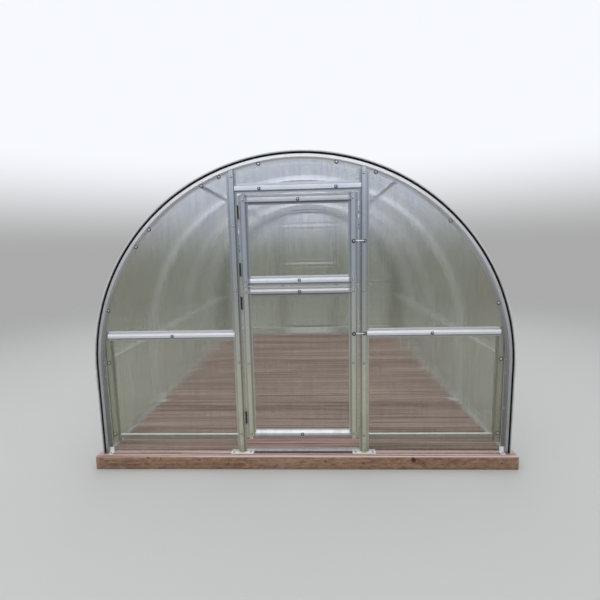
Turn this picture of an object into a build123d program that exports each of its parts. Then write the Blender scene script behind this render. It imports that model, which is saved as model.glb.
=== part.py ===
from build123d import *
import os

# Arched greenhouse on a timber deck, in millimetres.
# The origin is on the ground under the middle of the house.
# +X is to the right seen from the front, +Y runs to the rear end, +Z is up.

# House
house_length = 4000.0
roof_radius = 1500.0
leg_height = 645.0
hoop_spacing = 1000.0

# Deck and its edge beams
deck_height = 98.0
board_thickness = 28.0
beam_thickness = 48.0
beam_past_end = 75.0
beam_past_side = 35.0
joist_width = 45.0
joist_spacing = 600.0

# Multiwall sheets
sheet_thickness = 6.0
sheet_overhang = 15.0
sheet_lap = 80.0
lap_ramp = 20.0
panel_edge_hidden = 5.0
panel_lift = 5.0
pane_inset = 10.0

# Hat-section steel profile
steel = 1.2
hat_width = 68.0
hat_web = 30.0
hat_depth = 20.0
hat_slope = 3.0
hat_bend = 1.5

# End arch and its rubber seal
arch_web = 20.0
arch_flange = 20.0
arch_outer_leg = 60.0
arch_lip = 12.0
seal_thickness = 13.0
seal_width = 26.0
seal_set_back = 2.0

# Long ties, runners and angle rails
angle_leg = 20.0
angle_thickness = 1.5
shoulder_tie_angle = 62.0
side_tie_angle = 2.0
tie_clearance = 0.8
runner_height = 40.0
runner_foot = 30.0
bottom_rail_height = 110.0
bottom_rail_leg = 24.0
sill_height = 20.0
sill_depth = 25.0

# End walls
post_spacing = 900.0
header_below_arch = 173.0
mid_rail_height = 895.0
rail_end_inset = 46.0
stud_inset = 28.0
stud_below_rail = 38.0

# Door leaves
leaf_gap = 5.0
leaf_split = 7.0
leaf_head_gap = 10.0
lower_leaf_bottom = 112.0
lower_leaf_top = 1236.0

# Hinges
bottom_hinge_inset = 158.0
hinge_inset = 115.0
hinge_length = 92.0
hinge_axis_out = 9.0
knuckle_radius = 5.0
pin_radius = 2.5
pin_clearance = 0.2
knuckle_gap = 0.6
hinge_plate = 2.0
hinge_plate_width = 11.0

# Hook latches
lower_latch_drop = 342.0
upper_latch_drop = 327.0
latch_boss_radius = 7.0
latch_boss_length = 7.0
hook_thickness = 3.0
hook_width = 6.0
hook_clearance = 1.0
stud_pin_radius = 3.5
stud_pin_length = 10.0

# Feet
foot_length = 166.0
foot_width = 60.0
foot_thickness = 3.0
hoop_foot_length = 70.0
arch_foot_width = 30.0
arch_foot_reach = 40.0

# Small clearance between pieces laid against each other
seat = 0.3

half_length = house_length / 2
centre_height = deck_height + leg_height
roof_inner = roof_radius - sheet_thickness
hoop_outer = roof_inner - seat
arch_outer = roof_inner - seal_thickness
arch_flange_outer = arch_outer - arch_web - hat_slope
arch_flange_inner = arch_flange_outer - arch_flange
hoop_inner = hoop_outer - hat_depth
panel_radius = arch_flange_outer - panel_edge_hidden
stud_centre = arch_flange_inner - stud_inset
header_height = leg_height + arch_flange_inner - header_below_arch
post_centre = post_spacing / 2
hat_flange = (hat_width - hat_web) / 2 - hat_slope
post_inner_edge = post_centre - hat_width / 2
post_outer_edge = post_centre + hat_width / 2
leaf_half_width = post_inner_edge - leaf_gap
upper_leaf_bottom = lower_leaf_top + leaf_split
upper_leaf_top = header_height - hat_width / 2 - leaf_head_gap
lower_hinge_heights = (lower_leaf_bottom + bottom_hinge_inset, lower_leaf_top - hinge_inset)
upper_hinge_heights = (upper_leaf_bottom + hinge_inset, upper_leaf_top - hinge_inset)
hinge_x = -(post_inner_edge + leaf_half_width) / 2
hoop_positions = [(index + 1) * hoop_spacing - half_length
                  for index in range(int(house_length / hoop_spacing) - 1)]
roof_end = half_length + hat_depth - seal_set_back + sheet_overhang
beam_end = half_length + beam_past_end
beam_side = roof_radius + beam_past_side


def plate(corners):
    """Flat face with these 3-D corners, in order."""
    return make_face(Polyline(*corners, close=True))


def box_between(low, high):
    """Box from its lowest corner to its highest corner."""
    size = [high[axis] - low[axis] for axis in range(3)]
    middle = [(high[axis] + low[axis]) / 2 for axis in range(3)]
    return Pos(*middle) * Box(*size)


def hat_outline():
    """Corners of the hat section: u across it, v out from its flanges.

    Each fold is cut by a short flat, as a rolled profile's bends are.
    """
    half = hat_width / 2
    foot = hat_web / 2 + hat_slope
    crown = hat_web / 2
    right = [
        (crown - hat_bend, hat_depth),
        (crown, hat_depth - hat_bend),
        (foot, steel + hat_bend / 2),
        (foot + hat_bend, steel),
        (half, steel),
        (half, 0.0),
        (foot - steel + hat_bend, 0.0),
        (foot - steel, hat_bend / 2),
        (crown - steel, hat_depth - steel - hat_bend),
        (crown - steel - hat_bend / 2, hat_depth - steel),
    ]
    left = [(-u, v) for u, v in reversed(right)]
    outer = right[:6]
    inner = right[6:]
    return [(-u, v) for u, v in reversed(outer)] + outer + inner + left[:4]


def upright(centre_x, bottom, top, face_y, outward=-1):
    """Hat-section upright with its flanges on the plane y = face_y."""
    corners = [(centre_x + u, face_y + outward * v, bottom) for u, v in hat_outline()]
    return extrude(plate(corners), amount=top - bottom, dir=(0, 0, 1))


def crossbar(left, right, centre_z, face_y, outward=-1):
    """Level hat-section bar with its flanges on the plane y = face_y."""
    corners = [(left, face_y + outward * v, centre_z + u) for u, v in hat_outline()]
    return extrude(plate(corners), amount=right - left, dir=(1, 0, 0))


def arched(section):
    """Sweep a section of (radius, y) corners up one leg, over the arch and down.

    The arch is half a circle on straight legs that stand on the deck.
    """
    right = plate([(radius, y, centre_height) for radius, y in section])
    left = plate([(-radius, y, centre_height) for radius, y in section])
    crown = revolve(right, Axis((0, 0, centre_height), (0, -1, 0)), 180)
    foot = centre_height - deck_height
    right_leg = extrude(right, amount=foot, dir=(0, 0, -1))
    left_leg = extrude(left, amount=foot, dir=(0, 0, -1))
    return crown + right_leg + left_leg


def arch_area(radius, front, back):
    """Solid filling the arch up to a radius, between two planes across the house."""
    disc = Pos(0, (front + back) / 2, centre_height) * Rot(90, 0, 0) * Cylinder(radius, back - front)
    legs = box_between((-radius, front, deck_height), (radius, back, centre_height))
    above = box_between((-radius, front, centre_height), (radius, back, centre_height + radius))
    return (disc & above) + legs


def at_rear(shape):
    """The same piece turned half round the house's middle, for the rear end."""
    return Rot(0, 0, 180) * shape


def hoop(position):
    """Rolled hat-section hoop with its web outward, under the roof sheets."""
    half = hat_width / 2
    foot = hat_web / 2 + hat_slope
    crown = hat_web / 2
    section = [
        (hoop_inner, -half),
        (hoop_inner + steel, -half),
        (hoop_inner + steel, -foot),
        (hoop_outer, -crown),
        (hoop_outer, crown),
        (hoop_inner + steel, foot),
        (hoop_inner + steel, half),
        (hoop_inner, half),
        (hoop_inner, foot - steel),
        (hoop_outer - steel, crown - steel),
        (hoop_outer - steel, steel - crown),
        (hoop_inner, steel - foot),
    ]
    return arched([(radius, position + y) for radius, y in section])


def end_arch():
    """Front end arch: raised web, a flange for the end sheets, a long leg for the roof."""
    web_y = -half_length - hat_depth
    back_y = web_y + arch_outer_leg
    web_inner = arch_outer - arch_web
    section = [
        (arch_outer, back_y),
        (arch_outer, web_y),
        (web_inner, web_y),
        (arch_flange_outer, -half_length - steel),
        (arch_flange_inner, -half_length - steel),
        (arch_flange_inner, -half_length),
        (arch_flange_outer + steel, -half_length),
        (web_inner + steel, web_y + steel),
        (arch_outer - steel, web_y + steel),
        (arch_outer - steel, back_y - steel),
        (arch_outer - arch_lip, back_y - steel),
        (arch_outer - arch_lip, back_y),
    ]
    return arched(section)


def seal():
    """Front rubber seal between the end arch and the roof sheet."""
    front = -half_length - hat_depth + seal_set_back
    back = front + seal_width
    inner = arch_outer + seat
    section = [(hoop_outer, front), (inner, front), (inner, back), (hoop_outer, back)]
    return arched(section)


def roof_front():
    """Front roof sheet, from the front overhang to the lap over the middle hoop."""
    back = sheet_lap / 2
    section = [(roof_inner, -roof_end), (roof_radius, -roof_end), (roof_radius, back), (roof_inner, back)]
    return arched(section)


def roof_rear():
    """Rear roof sheet, stepped up at the middle hoop to lap over the front sheet."""
    start = -sheet_lap / 2
    step = sheet_lap / 2 + seat
    rise = sheet_thickness + seat
    section = [
        (roof_inner, roof_end),
        (roof_inner, step + lap_ramp),
        (roof_inner + rise, step),
        (roof_inner + rise, start),
        (roof_radius + rise, start),
        (roof_radius + rise, step),
        (roof_radius, step + lap_ramp),
        (roof_radius, roof_end),
    ]
    return arched(section)


def roof_tie(angle):
    """Angle section from end arch to end arch, under the hoops at this angle."""
    reach = half_length - arch_outer_leg
    outer = hoop_inner - tie_clearance
    corners = [
        (outer, -reach, 0),
        (outer, -reach, angle_leg),
        (outer - angle_thickness, -reach, angle_leg),
        (outer - angle_thickness, -reach, angle_thickness),
        (outer - angle_leg, -reach, angle_thickness),
        (outer - angle_leg, -reach, 0),
    ]
    bar = extrude(plate(corners), amount=2 * reach, dir=(0, 1, 0))
    return Pos(0, 0, centre_height) * Rot(0, -angle, 0) * bar


def base_runner(start, end):
    """Angle on the deck that closes the foot of the right-hand side between hoops."""
    inner = hoop_outer - runner_foot
    corners = [
        (inner, start, deck_height),
        (hoop_outer, start, deck_height),
        (hoop_outer, start, deck_height + runner_height),
        (hoop_outer - angle_thickness, start, deck_height + runner_height),
        (hoop_outer - angle_thickness, start, deck_height + angle_thickness),
        (inner, start, deck_height + angle_thickness),
    ]
    return extrude(plate(corners), amount=end - start, dir=(0, 1, 0))


def both_sides(shape):
    """The piece and its mirror image across the house's middle plane."""
    return [shape, mirror(shape, Plane.YZ)]


def runner_spans():
    """Front and back ends of each runner, between the hoops' flanges."""
    half = hat_width / 2 + seat
    arch_back = half_length - arch_outer_leg + hat_depth - seat
    starts = [-arch_back] + [position + half for position in hoop_positions]
    ends = [position - half for position in hoop_positions] + [arch_back]
    return list(zip(starts, ends))


def door_post():
    """Right-hand door post, on its foot plate and coped to the end arch."""
    face = -half_length
    bar = upright(post_centre, deck_height + foot_thickness, centre_height + arch_outer, face)
    inside_web = arch_area(arch_flange_outer - seat, face - hat_depth, face)
    inside_flange = arch_area(arch_flange_inner - seat, face - hat_depth, face)
    over_flange = box_between(
        (0, face - hat_depth, centre_height),
        (roof_radius, face - steel - seat, centre_height + roof_radius),
    )
    return bar & (inside_flange + (inside_web & over_flange))


def coped(bar, low_x, high_x):
    """Cut a crossbar's ends back so that its web laps over the uprights' flanges."""
    lap = hat_flange - hat_bend - seat
    reach = lap + seat
    bottom = -house_length
    for start, end in ((low_x - seat, low_x + reach), (high_x - reach, high_x + seat)):
        bar -= box_between((start, -half_length - steel, bottom), (end, -half_length, house_length))
    return bar


def lapped_crossbar(left_edge, right_edge, height):
    """Crossbar whose raised web laps over the flange of the upright at each end."""
    lap = hat_flange - hat_bend - seat
    bar = crossbar(left_edge - lap, right_edge + lap, deck_height + height, -half_length)
    return coped(bar, left_edge - lap, right_edge + lap)


def mid_rail():
    """Right-hand middle rail, from the door post to the side stud."""
    start = post_outer_edge
    end = arch_flange_inner - rail_end_inset
    lap = hat_flange - hat_bend - seat
    bar = crossbar(start - lap, end, deck_height + mid_rail_height, -half_length)
    notch = box_between(
        (start - lap - seat, -half_length - steel, 0),
        (start + seat, -half_length, house_length),
    )
    return bar - notch


def side_stud():
    """Right-hand stud behind the end sheet, from below the bottom rail to the middle rail."""
    bottom = deck_height + bottom_rail_height - stud_below_rail
    top = deck_height + mid_rail_height + hat_width / 2
    face = -half_length + sheet_thickness + hat_depth + seat
    return upright(stud_centre, bottom, top, face)


def bottom_rail():
    """Right-hand angle rail behind the end sheet, from door post to stud."""
    face = -half_length + sheet_thickness
    left = post_centre
    right = stud_centre - hat_width / 2 - seat
    top = deck_height + bottom_rail_height + bottom_rail_leg
    bottom = top - bottom_rail_leg
    upstand = box_between((left, face, bottom), (right, face + angle_thickness, top))
    shelf = box_between((left, face, top - angle_thickness), (right, face + bottom_rail_leg, top))
    return upstand + shelf


def sill():
    """Channel across the doorway's foot, open below."""
    left = -post_inner_edge + seat
    right = post_inner_edge - seat
    face = -half_length
    foot = deck_height + foot_thickness
    outer = box_between((left, face, foot), (right, face + sill_depth, foot + sill_height))
    inner = box_between(
        (left, face + angle_thickness, foot),
        (right, face + sill_depth - angle_thickness, foot + sill_height - angle_thickness),
    )
    return outer - inner


def side_panel():
    """Right-hand end sheet, from behind the door post to the end arch."""
    area = arch_area(panel_radius, -half_length, -half_length + sheet_thickness)
    keep = box_between(
        (post_centre + panel_edge_hidden, -half_length, deck_height + panel_lift),
        (roof_radius, half_length, centre_height + roof_radius),
    )
    return area & keep


def top_panel():
    """End sheet over the doorway, from behind the header to the end arch."""
    side = post_centre - panel_edge_hidden
    area = arch_area(panel_radius, -half_length, -half_length + sheet_thickness)
    keep = box_between(
        (-side, -half_length, deck_height + header_height),
        (side, half_length, centre_height + roof_radius),
    )
    return area & keep


def leaf_frame(bottom, top):
    """Door leaf frame: two stiles with rails lapped over their flanges."""
    face = -half_length
    stile_x = leaf_half_width - hat_width / 2
    rail_end = leaf_half_width - hat_flange + hat_bend
    low = deck_height + bottom
    high = deck_height + top
    frame = upright(-stile_x, low, high, face) + upright(stile_x, low, high, face)
    for height in (low + hat_width / 2, high - hat_width / 2):
        frame += crossbar(-rail_end, rail_end, height, face)
    return frame


def leaf_pane(bottom, top):
    """Multiwall sheet behind a leaf frame."""
    half = leaf_half_width - pane_inset
    return box_between(
        (-half, -half_length, deck_height + bottom + pane_inset),
        (half, -half_length + sheet_thickness, deck_height + top - pane_inset),
    )


def hinge_parts(height):
    """Post half and leaf half of one hinge, with its middle at this height."""
    axis_y = -half_length - hinge_axis_out
    flange_y = -half_length - steel
    low = deck_height + height - hinge_length / 2
    high = low + hinge_length
    third = hinge_length / 3
    post_edge = hinge_x - knuckle_radius
    leaf_edge = hinge_x + knuckle_radius

    def knuckle(start, end):
        tube = Cylinder(knuckle_radius, end - start, align=(Align.CENTER, Align.CENTER, Align.MIN))
        return Pos(hinge_x, axis_y, start) * tube

    def upstand(start, end, from_x, to_x):
        return box_between((from_x, axis_y, start), (to_x, flange_y, end))

    post_half = box_between(
        (post_edge - hinge_plate_width, flange_y - hinge_plate, low),
        (post_edge + hinge_plate, flange_y, high),
    )
    for start, end in ((low, low + third - knuckle_gap), (high - third + knuckle_gap, high)):
        post_half += knuckle(start, end)
        post_half += upstand(start, end, post_edge, post_edge + hinge_plate)
    pin = Cylinder(pin_radius, hinge_length, align=(Align.CENTER, Align.CENTER, Align.MIN))
    post_half += Pos(hinge_x, axis_y, low) * pin

    leaf_half = box_between(
        (leaf_edge - hinge_plate, flange_y - hinge_plate, low),
        (leaf_edge + hinge_plate_width, flange_y, high),
    )
    leaf_half += knuckle(low + third, high - third)
    leaf_half += upstand(low + third, high - third, leaf_edge - hinge_plate, leaf_edge)
    bore = Cylinder(pin_radius + pin_clearance, hinge_length, align=(Align.CENTER, Align.CENTER, Align.MIN))
    leaf_half -= Pos(hinge_x, axis_y, low) * bore
    return post_half, leaf_half


def latch_parts(height):
    """Hook on the leaf's stile and the stud that it drops over on the post."""
    face = -half_length - hat_depth
    level = deck_height + height
    pivot_x = leaf_half_width - hat_width / 2
    ring_inner = stud_pin_radius + hook_clearance
    ring_outer = ring_inner + hook_width / 2

    def round_bar(x, radius, length):
        return Pos(x, face - length / 2, level) * Rot(90, 0, 0) * Cylinder(radius, length)

    hook_y = face - latch_boss_length + hook_thickness / 2
    ring = Cylinder(ring_outer, hook_thickness) - Cylinder(ring_inner, hook_thickness)
    mouth = Pos(0, -ring_outer, 0) * Box(2 * ring_inner, 2 * ring_outer, hook_thickness)
    claw = Pos(post_centre, hook_y, level) * Rot(90, 0, 0) * (ring - mouth)
    arm_end = post_centre - ring_inner
    arm = box_between(
        (pivot_x, hook_y - hook_thickness / 2, level),
        (arm_end, hook_y + hook_thickness / 2, level + hook_width),
    )
    hook = round_bar(pivot_x, latch_boss_radius, latch_boss_length) + arm + claw
    return hook, round_bar(post_centre, stud_pin_radius, stud_pin_length)


def arch_foot():
    """Angle bracket in front of the end arch's right-hand leg, on the deck."""
    left = arch_flange_outer - seat - arch_foot_width
    right = arch_flange_outer - seat
    back = -half_length - steel - seat
    foot = box_between(
        (left, back - arch_foot_reach, deck_height),
        (right, back, deck_height + foot_thickness),
    )
    upstand = box_between(
        (left, back - foot_thickness, deck_height),
        (right, back, deck_height + arch_foot_reach),
    )
    return foot + upstand


def foot_plates():
    """Steel plates on the deck under the door posts."""
    plates = []
    for end in (-half_length, half_length):
        for side in (-post_centre, post_centre):
            plates.append(box_between(
                (side - foot_length / 2, end - foot_width / 2, deck_height),
                (side + foot_length / 2, end + foot_width / 2, deck_height + foot_thickness),
            ))
    return plates


def hoop_feet():
    """Angle brackets that hold the hoops' legs down, inside the right-hand side."""
    brackets = []
    outer = hoop_inner - seat
    for position in hoop_positions:
        foot = box_between(
            (outer - foot_width, position - hat_width / 2, deck_height),
            (outer, position + hat_width / 2, deck_height + foot_thickness),
        )
        upstand = box_between(
            (outer - foot_thickness, position - hat_width / 2, deck_height),
            (outer, position + hat_width / 2, deck_height + hoop_foot_length),
        )
        brackets.append(foot + upstand)
    return brackets


def deck_pieces():
    """Deck floor, joists and edge beams, by node name."""
    inner_end = beam_end - beam_thickness
    inner_side = beam_side - beam_thickness
    joist_height = deck_height - board_thickness
    floor = box_between((-inner_side, -inner_end, joist_height), (inner_side, inner_end, deck_height))
    joists = []
    count = int(inner_side / joist_spacing)
    for index in range(-count, count + 1):
        middle = index * joist_spacing
        joists.append(box_between(
            (middle - joist_width / 2, -inner_end, 0),
            (middle + joist_width / 2, inner_end, joist_height),
        ))
    end_beam = box_between((-beam_side, -beam_end, 0), (beam_side, -inner_end, deck_height))
    side_beam = box_between((inner_side, -inner_end, 0), (beam_side, inner_end, deck_height))
    return {
        "deck_floor": [floor],
        "deck_joists": joists,
        "end_beams": [end_beam, at_rear(end_beam)],
        "side_beams": both_sides(side_beam),
    }


def shell_pieces():
    """Hoops, ties, runners, feet and roof sheets, by node name."""
    pieces = {}
    for number, position in enumerate(hoop_positions, start=1):
        pieces[f"hoop_{number}"] = [hoop(position)]
    pieces["side_ties"] = both_sides(roof_tie(side_tie_angle))
    pieces["shoulder_ties"] = both_sides(roof_tie(shoulder_tie_angle))
    runners = []
    for start, end in runner_spans():
        runners += both_sides(base_runner(start, end))
    pieces["base_runners"] = runners
    pieces["foot_plates"] = foot_plates()
    pieces["hoop_feet"] = [piece for foot in hoop_feet() for piece in both_sides(foot)]
    pieces["roof_sheet_front"] = [roof_front()]
    pieces["roof_sheet_rear"] = [roof_rear()]
    return pieces


def end_wall_pieces():
    """Pieces of the front end wall and its door, by node name without the end."""
    panel = side_panel()
    header = lapped_crossbar(-post_inner_edge, post_inner_edge, header_height)
    lower_hinges = [hinge_parts(height) for height in lower_hinge_heights]
    upper_hinges = [hinge_parts(height) for height in upper_hinge_heights]
    post_halves = [post_half for post_half, leaf_half in lower_hinges + upper_hinges]
    lower_leaf_halves = [leaf_half for post_half, leaf_half in lower_hinges]
    upper_leaf_halves = [leaf_half for post_half, leaf_half in upper_hinges]
    lower_latch = latch_parts(lower_leaf_top - lower_latch_drop)
    upper_latch = latch_parts(upper_leaf_top - upper_latch_drop)
    return {
        "arch": [end_arch()],
        "seal": [seal()],
        "door_posts": both_sides(door_post()),
        "header": [header],
        "mid_rails": both_sides(mid_rail()),
        "side_studs": both_sides(side_stud()),
        "bottom_rails": both_sides(bottom_rail()),
        "sill": [sill()],
        "side_panels": both_sides(panel),
        "top_panel": [top_panel()],
        "arch_feet": both_sides(arch_foot()),
        "hinges": post_halves + upper_leaf_halves,
        "latch_studs": [lower_latch[1], upper_latch[1]],
        "upper_leaf_frame": [leaf_frame(upper_leaf_bottom, upper_leaf_top)],
        "upper_leaf_pane": [leaf_pane(upper_leaf_bottom, upper_leaf_top)],
        "upper_latch": [upper_latch[0]],
        "lower_leaf_frame": [leaf_frame(lower_leaf_bottom, lower_leaf_top)],
        "lower_leaf_pane": [leaf_pane(lower_leaf_bottom, lower_leaf_top)],
        "lower_hinge_plates": lower_leaf_halves,
        "lower_latch": [lower_latch[0]],
    }


def build():
    """Every node of the greenhouse, by name."""
    pieces = deck_pieces()
    pieces.update(shell_pieces())
    for name, solids in end_wall_pieces().items():
        pieces[f"front_{name}"] = solids
        pieces[f"rear_{name}"] = [at_rear(solid) for solid in solids]
    return pieces


os.makedirs("parts", exist_ok=True)
for node, solids in build().items():
    shapes = [solid for shape in solids for solid in shape.solids()]
    whole = shapes[0] if len(shapes) == 1 else Compound(children=shapes)
    export_step(whole, f"parts/{node}.step")
    print(node, len(shapes), round(sum(shape.volume for shape in shapes)))
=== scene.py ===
import logging
import math
from dataclasses import dataclass, replace
from enum import Enum
from typing import Iterable, Optional, Sequence, Union

import bmesh
import bpy
from mathutils import Matrix, Vector, noise


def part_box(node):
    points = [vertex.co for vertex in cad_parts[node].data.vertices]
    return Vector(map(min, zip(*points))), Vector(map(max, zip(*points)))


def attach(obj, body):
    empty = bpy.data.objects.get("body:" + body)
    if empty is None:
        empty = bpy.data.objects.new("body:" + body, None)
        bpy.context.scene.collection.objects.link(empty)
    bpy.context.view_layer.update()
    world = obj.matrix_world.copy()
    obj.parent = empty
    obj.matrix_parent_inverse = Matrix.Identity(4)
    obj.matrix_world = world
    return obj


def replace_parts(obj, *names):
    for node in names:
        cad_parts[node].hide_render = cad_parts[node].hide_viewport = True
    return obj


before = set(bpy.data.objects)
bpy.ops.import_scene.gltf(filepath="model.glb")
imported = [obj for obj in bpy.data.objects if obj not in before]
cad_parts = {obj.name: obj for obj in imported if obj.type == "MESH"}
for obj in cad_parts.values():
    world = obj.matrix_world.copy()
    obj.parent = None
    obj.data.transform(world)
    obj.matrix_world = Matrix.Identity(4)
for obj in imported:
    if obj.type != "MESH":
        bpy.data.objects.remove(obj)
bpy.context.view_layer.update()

# An arched greenhouse of multiwall sheet on a timber deck, in metres.
# The front end wall faces -Y. Each rear piece is its front twin turned half round.

Colour = tuple[float, float, float]
Point = tuple[float, float, float]
Span = tuple[float, float]
Profile = tuple[tuple[float, float], ...]
Socket = bpy.types.NodeSocket
Feed = Union[float, Sequence[float], Socket]

LOG = logging.getLogger("greenhouse")
HOUSE = "house"
UPWARD: Point = (0.0, 0.0, 1.0)
OUTWARD: Point = (0.0, -1.0, 0.0)
NO_TURN = Matrix()
ARCH_CENTRE = 0.743
BOARD_PITCH = 0.183
FIRST_BOARD_GAP = -1.973


class End(Enum):
    """The two end walls, by the prefix of their CAD nodes."""

    FRONT = "front"
    REAR = "rear"

    def turn(self) -> Matrix:
        """The turn about the house's middle that takes a front piece to this end."""
        return Matrix.Rotation(0.0 if self is End.FRONT else math.pi, 4, "Z")


class Level(Enum):
    """The two leaves of a split door."""

    LOWER = "lower"
    UPPER = "upper"


class Along(Enum):
    """The axis that a board's grain or a row of flutes runs along."""

    X = "X"
    Y = "Y"


class Roll(Enum):
    """How a rolled section's lines run: by axis, round the arch, or along a leaf's four sides."""

    ACROSS = "across"
    LENGTHWISE = "lengthwise"
    UPRIGHT = "upright"
    ROUND = "round"
    LEAF = "leaf"


class Slot(Enum):
    """The record's material slots."""

    STEEL = "galvanised_steel"
    FITTINGS = "fittings"
    SHEET = "polycarbonate"
    RUBBER = "rubber"
    TIMBER = "timber"
    BOARDS = "deck_boards"


@dataclass(frozen=True)
class HeadShape:
    """One kind of fastener head, as profiles of (radius, height) from its seat up.

    The pad is the soft ring under a washer, and the cap is what a driver grips. On the pivot and the
    stud ring the black pad is painted shade.
    """

    pad: Profile
    washer: Profile
    cap: Profile
    cap_sides: int


class Head(Enum):
    """The fasteners that hold the house together."""

    RAIL_SCREW = HeadShape(
        pad=((0.0, 0.0), (0.0118, 0.0), (0.0116, 0.0014), (0.0062, 0.0020)),
        washer=((0.0064, 0.0018), (0.0062, 0.0028), (0.0048, 0.0030)),
        cap=((0.0048, 0.0024), (0.0048, 0.0060), (0.0040, 0.0068), (0.0, 0.0070)),
        cap_sides=6,
    )
    POST_SCREW = HeadShape(
        pad=((0.0, 0.0), (0.0090, 0.0), (0.0088, 0.0012), (0.0060, 0.0016)),
        washer=((0.0072, 0.0014), (0.0070, 0.0026), (0.0050, 0.0030)),
        cap=((0.0046, 0.0026), (0.0046, 0.0058), (0.0038, 0.0066), (0.0, 0.0068)),
        cap_sides=6,
    )
    SHEET_SCREW = HeadShape(
        pad=((0.0, 0.0), (0.0128, 0.0), (0.0128, 0.0015), (0.0085, 0.0020)),
        washer=((0.0092, 0.0018), (0.0088, 0.0029), (0.0056, 0.0034)),
        cap=((0.0050, 0.0032), (0.0050, 0.0066), (0.0042, 0.0074), (0.0, 0.0076)),
        cap_sides=6,
    )
    ARCH_SCREW = HeadShape(
        pad=((0.0, 0.0), (0.0138, 0.0), (0.0136, 0.0012), (0.0080, 0.0016)),
        washer=((0.0092, 0.0014), (0.0088, 0.0028), (0.0060, 0.0034)),
        cap=((0.0052, 0.0030), (0.0052, 0.0062), (0.0042, 0.0070), (0.0, 0.0072)),
        cap_sides=6,
    )
    RIVET = HeadShape(
        pad=(),
        washer=((0.0, 0.0), (0.0050, 0.0), (0.0047, 0.0011), (0.0032, 0.0020), (0.0012, 0.0022)),
        cap=((0.0012, 0.0022), (0.0012, 0.0014), (0.0, 0.0014)),
        cap_sides=12,
    )
    FOOT_BOLT = HeadShape(
        pad=(),
        washer=((0.0, 0.0), (0.0100, 0.0), (0.0098, 0.0015), (0.0050, 0.0015)),
        cap=((0.0060, 0.0015), (0.0060, 0.0058), (0.0050, 0.0066), (0.0, 0.0066)),
        cap_sides=6,
    )
    # The pivot's wide black pad is painted shade round the hook's end.
    PIVOT = HeadShape(
        pad=((0.0, 0.0), (0.0130, 0.0), (0.0130, 0.0018), (0.0060, 0.0024)),
        washer=((0.0055, 0.0022), (0.0053, 0.0036), (0.0036, 0.0043), (0.0, 0.0045)),
        cap=((0.0, 0.0043), (0.0010, 0.0045), (0.0, 0.0046)),
        cap_sides=8,
    )
    # A black ring of painted shade round the latch stud; its washer and cap are mere slivers.
    STUD_SHADOW_RING = HeadShape(
        pad=((0.0034, 0.0), (0.0130, 0.0), (0.0130, 0.0020), (0.0034, 0.0026)),
        washer=((0.0034, 0.0024), (0.0034, 0.0025)),
        cap=((0.0034, 0.0024), (0.0034, 0.0025)),
        cap_sides=8,
    )
    BOARD_SCREW = HeadShape(
        pad=(),
        washer=((0.0, -0.0004), (0.0042, -0.0004), (0.0042, 0.0004), (0.0018, 0.0002)),
        cap=((0.0018, 0.0002), (0.0012, -0.0003), (0.0, -0.0003)),
        cap_sides=4,
    )


@dataclass(frozen=True)
class Fixing:
    """One fastener: where its head seats and which way it faces."""

    point: Point
    facing: Point
    head: Head = Head.RAIL_SCREW


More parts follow.
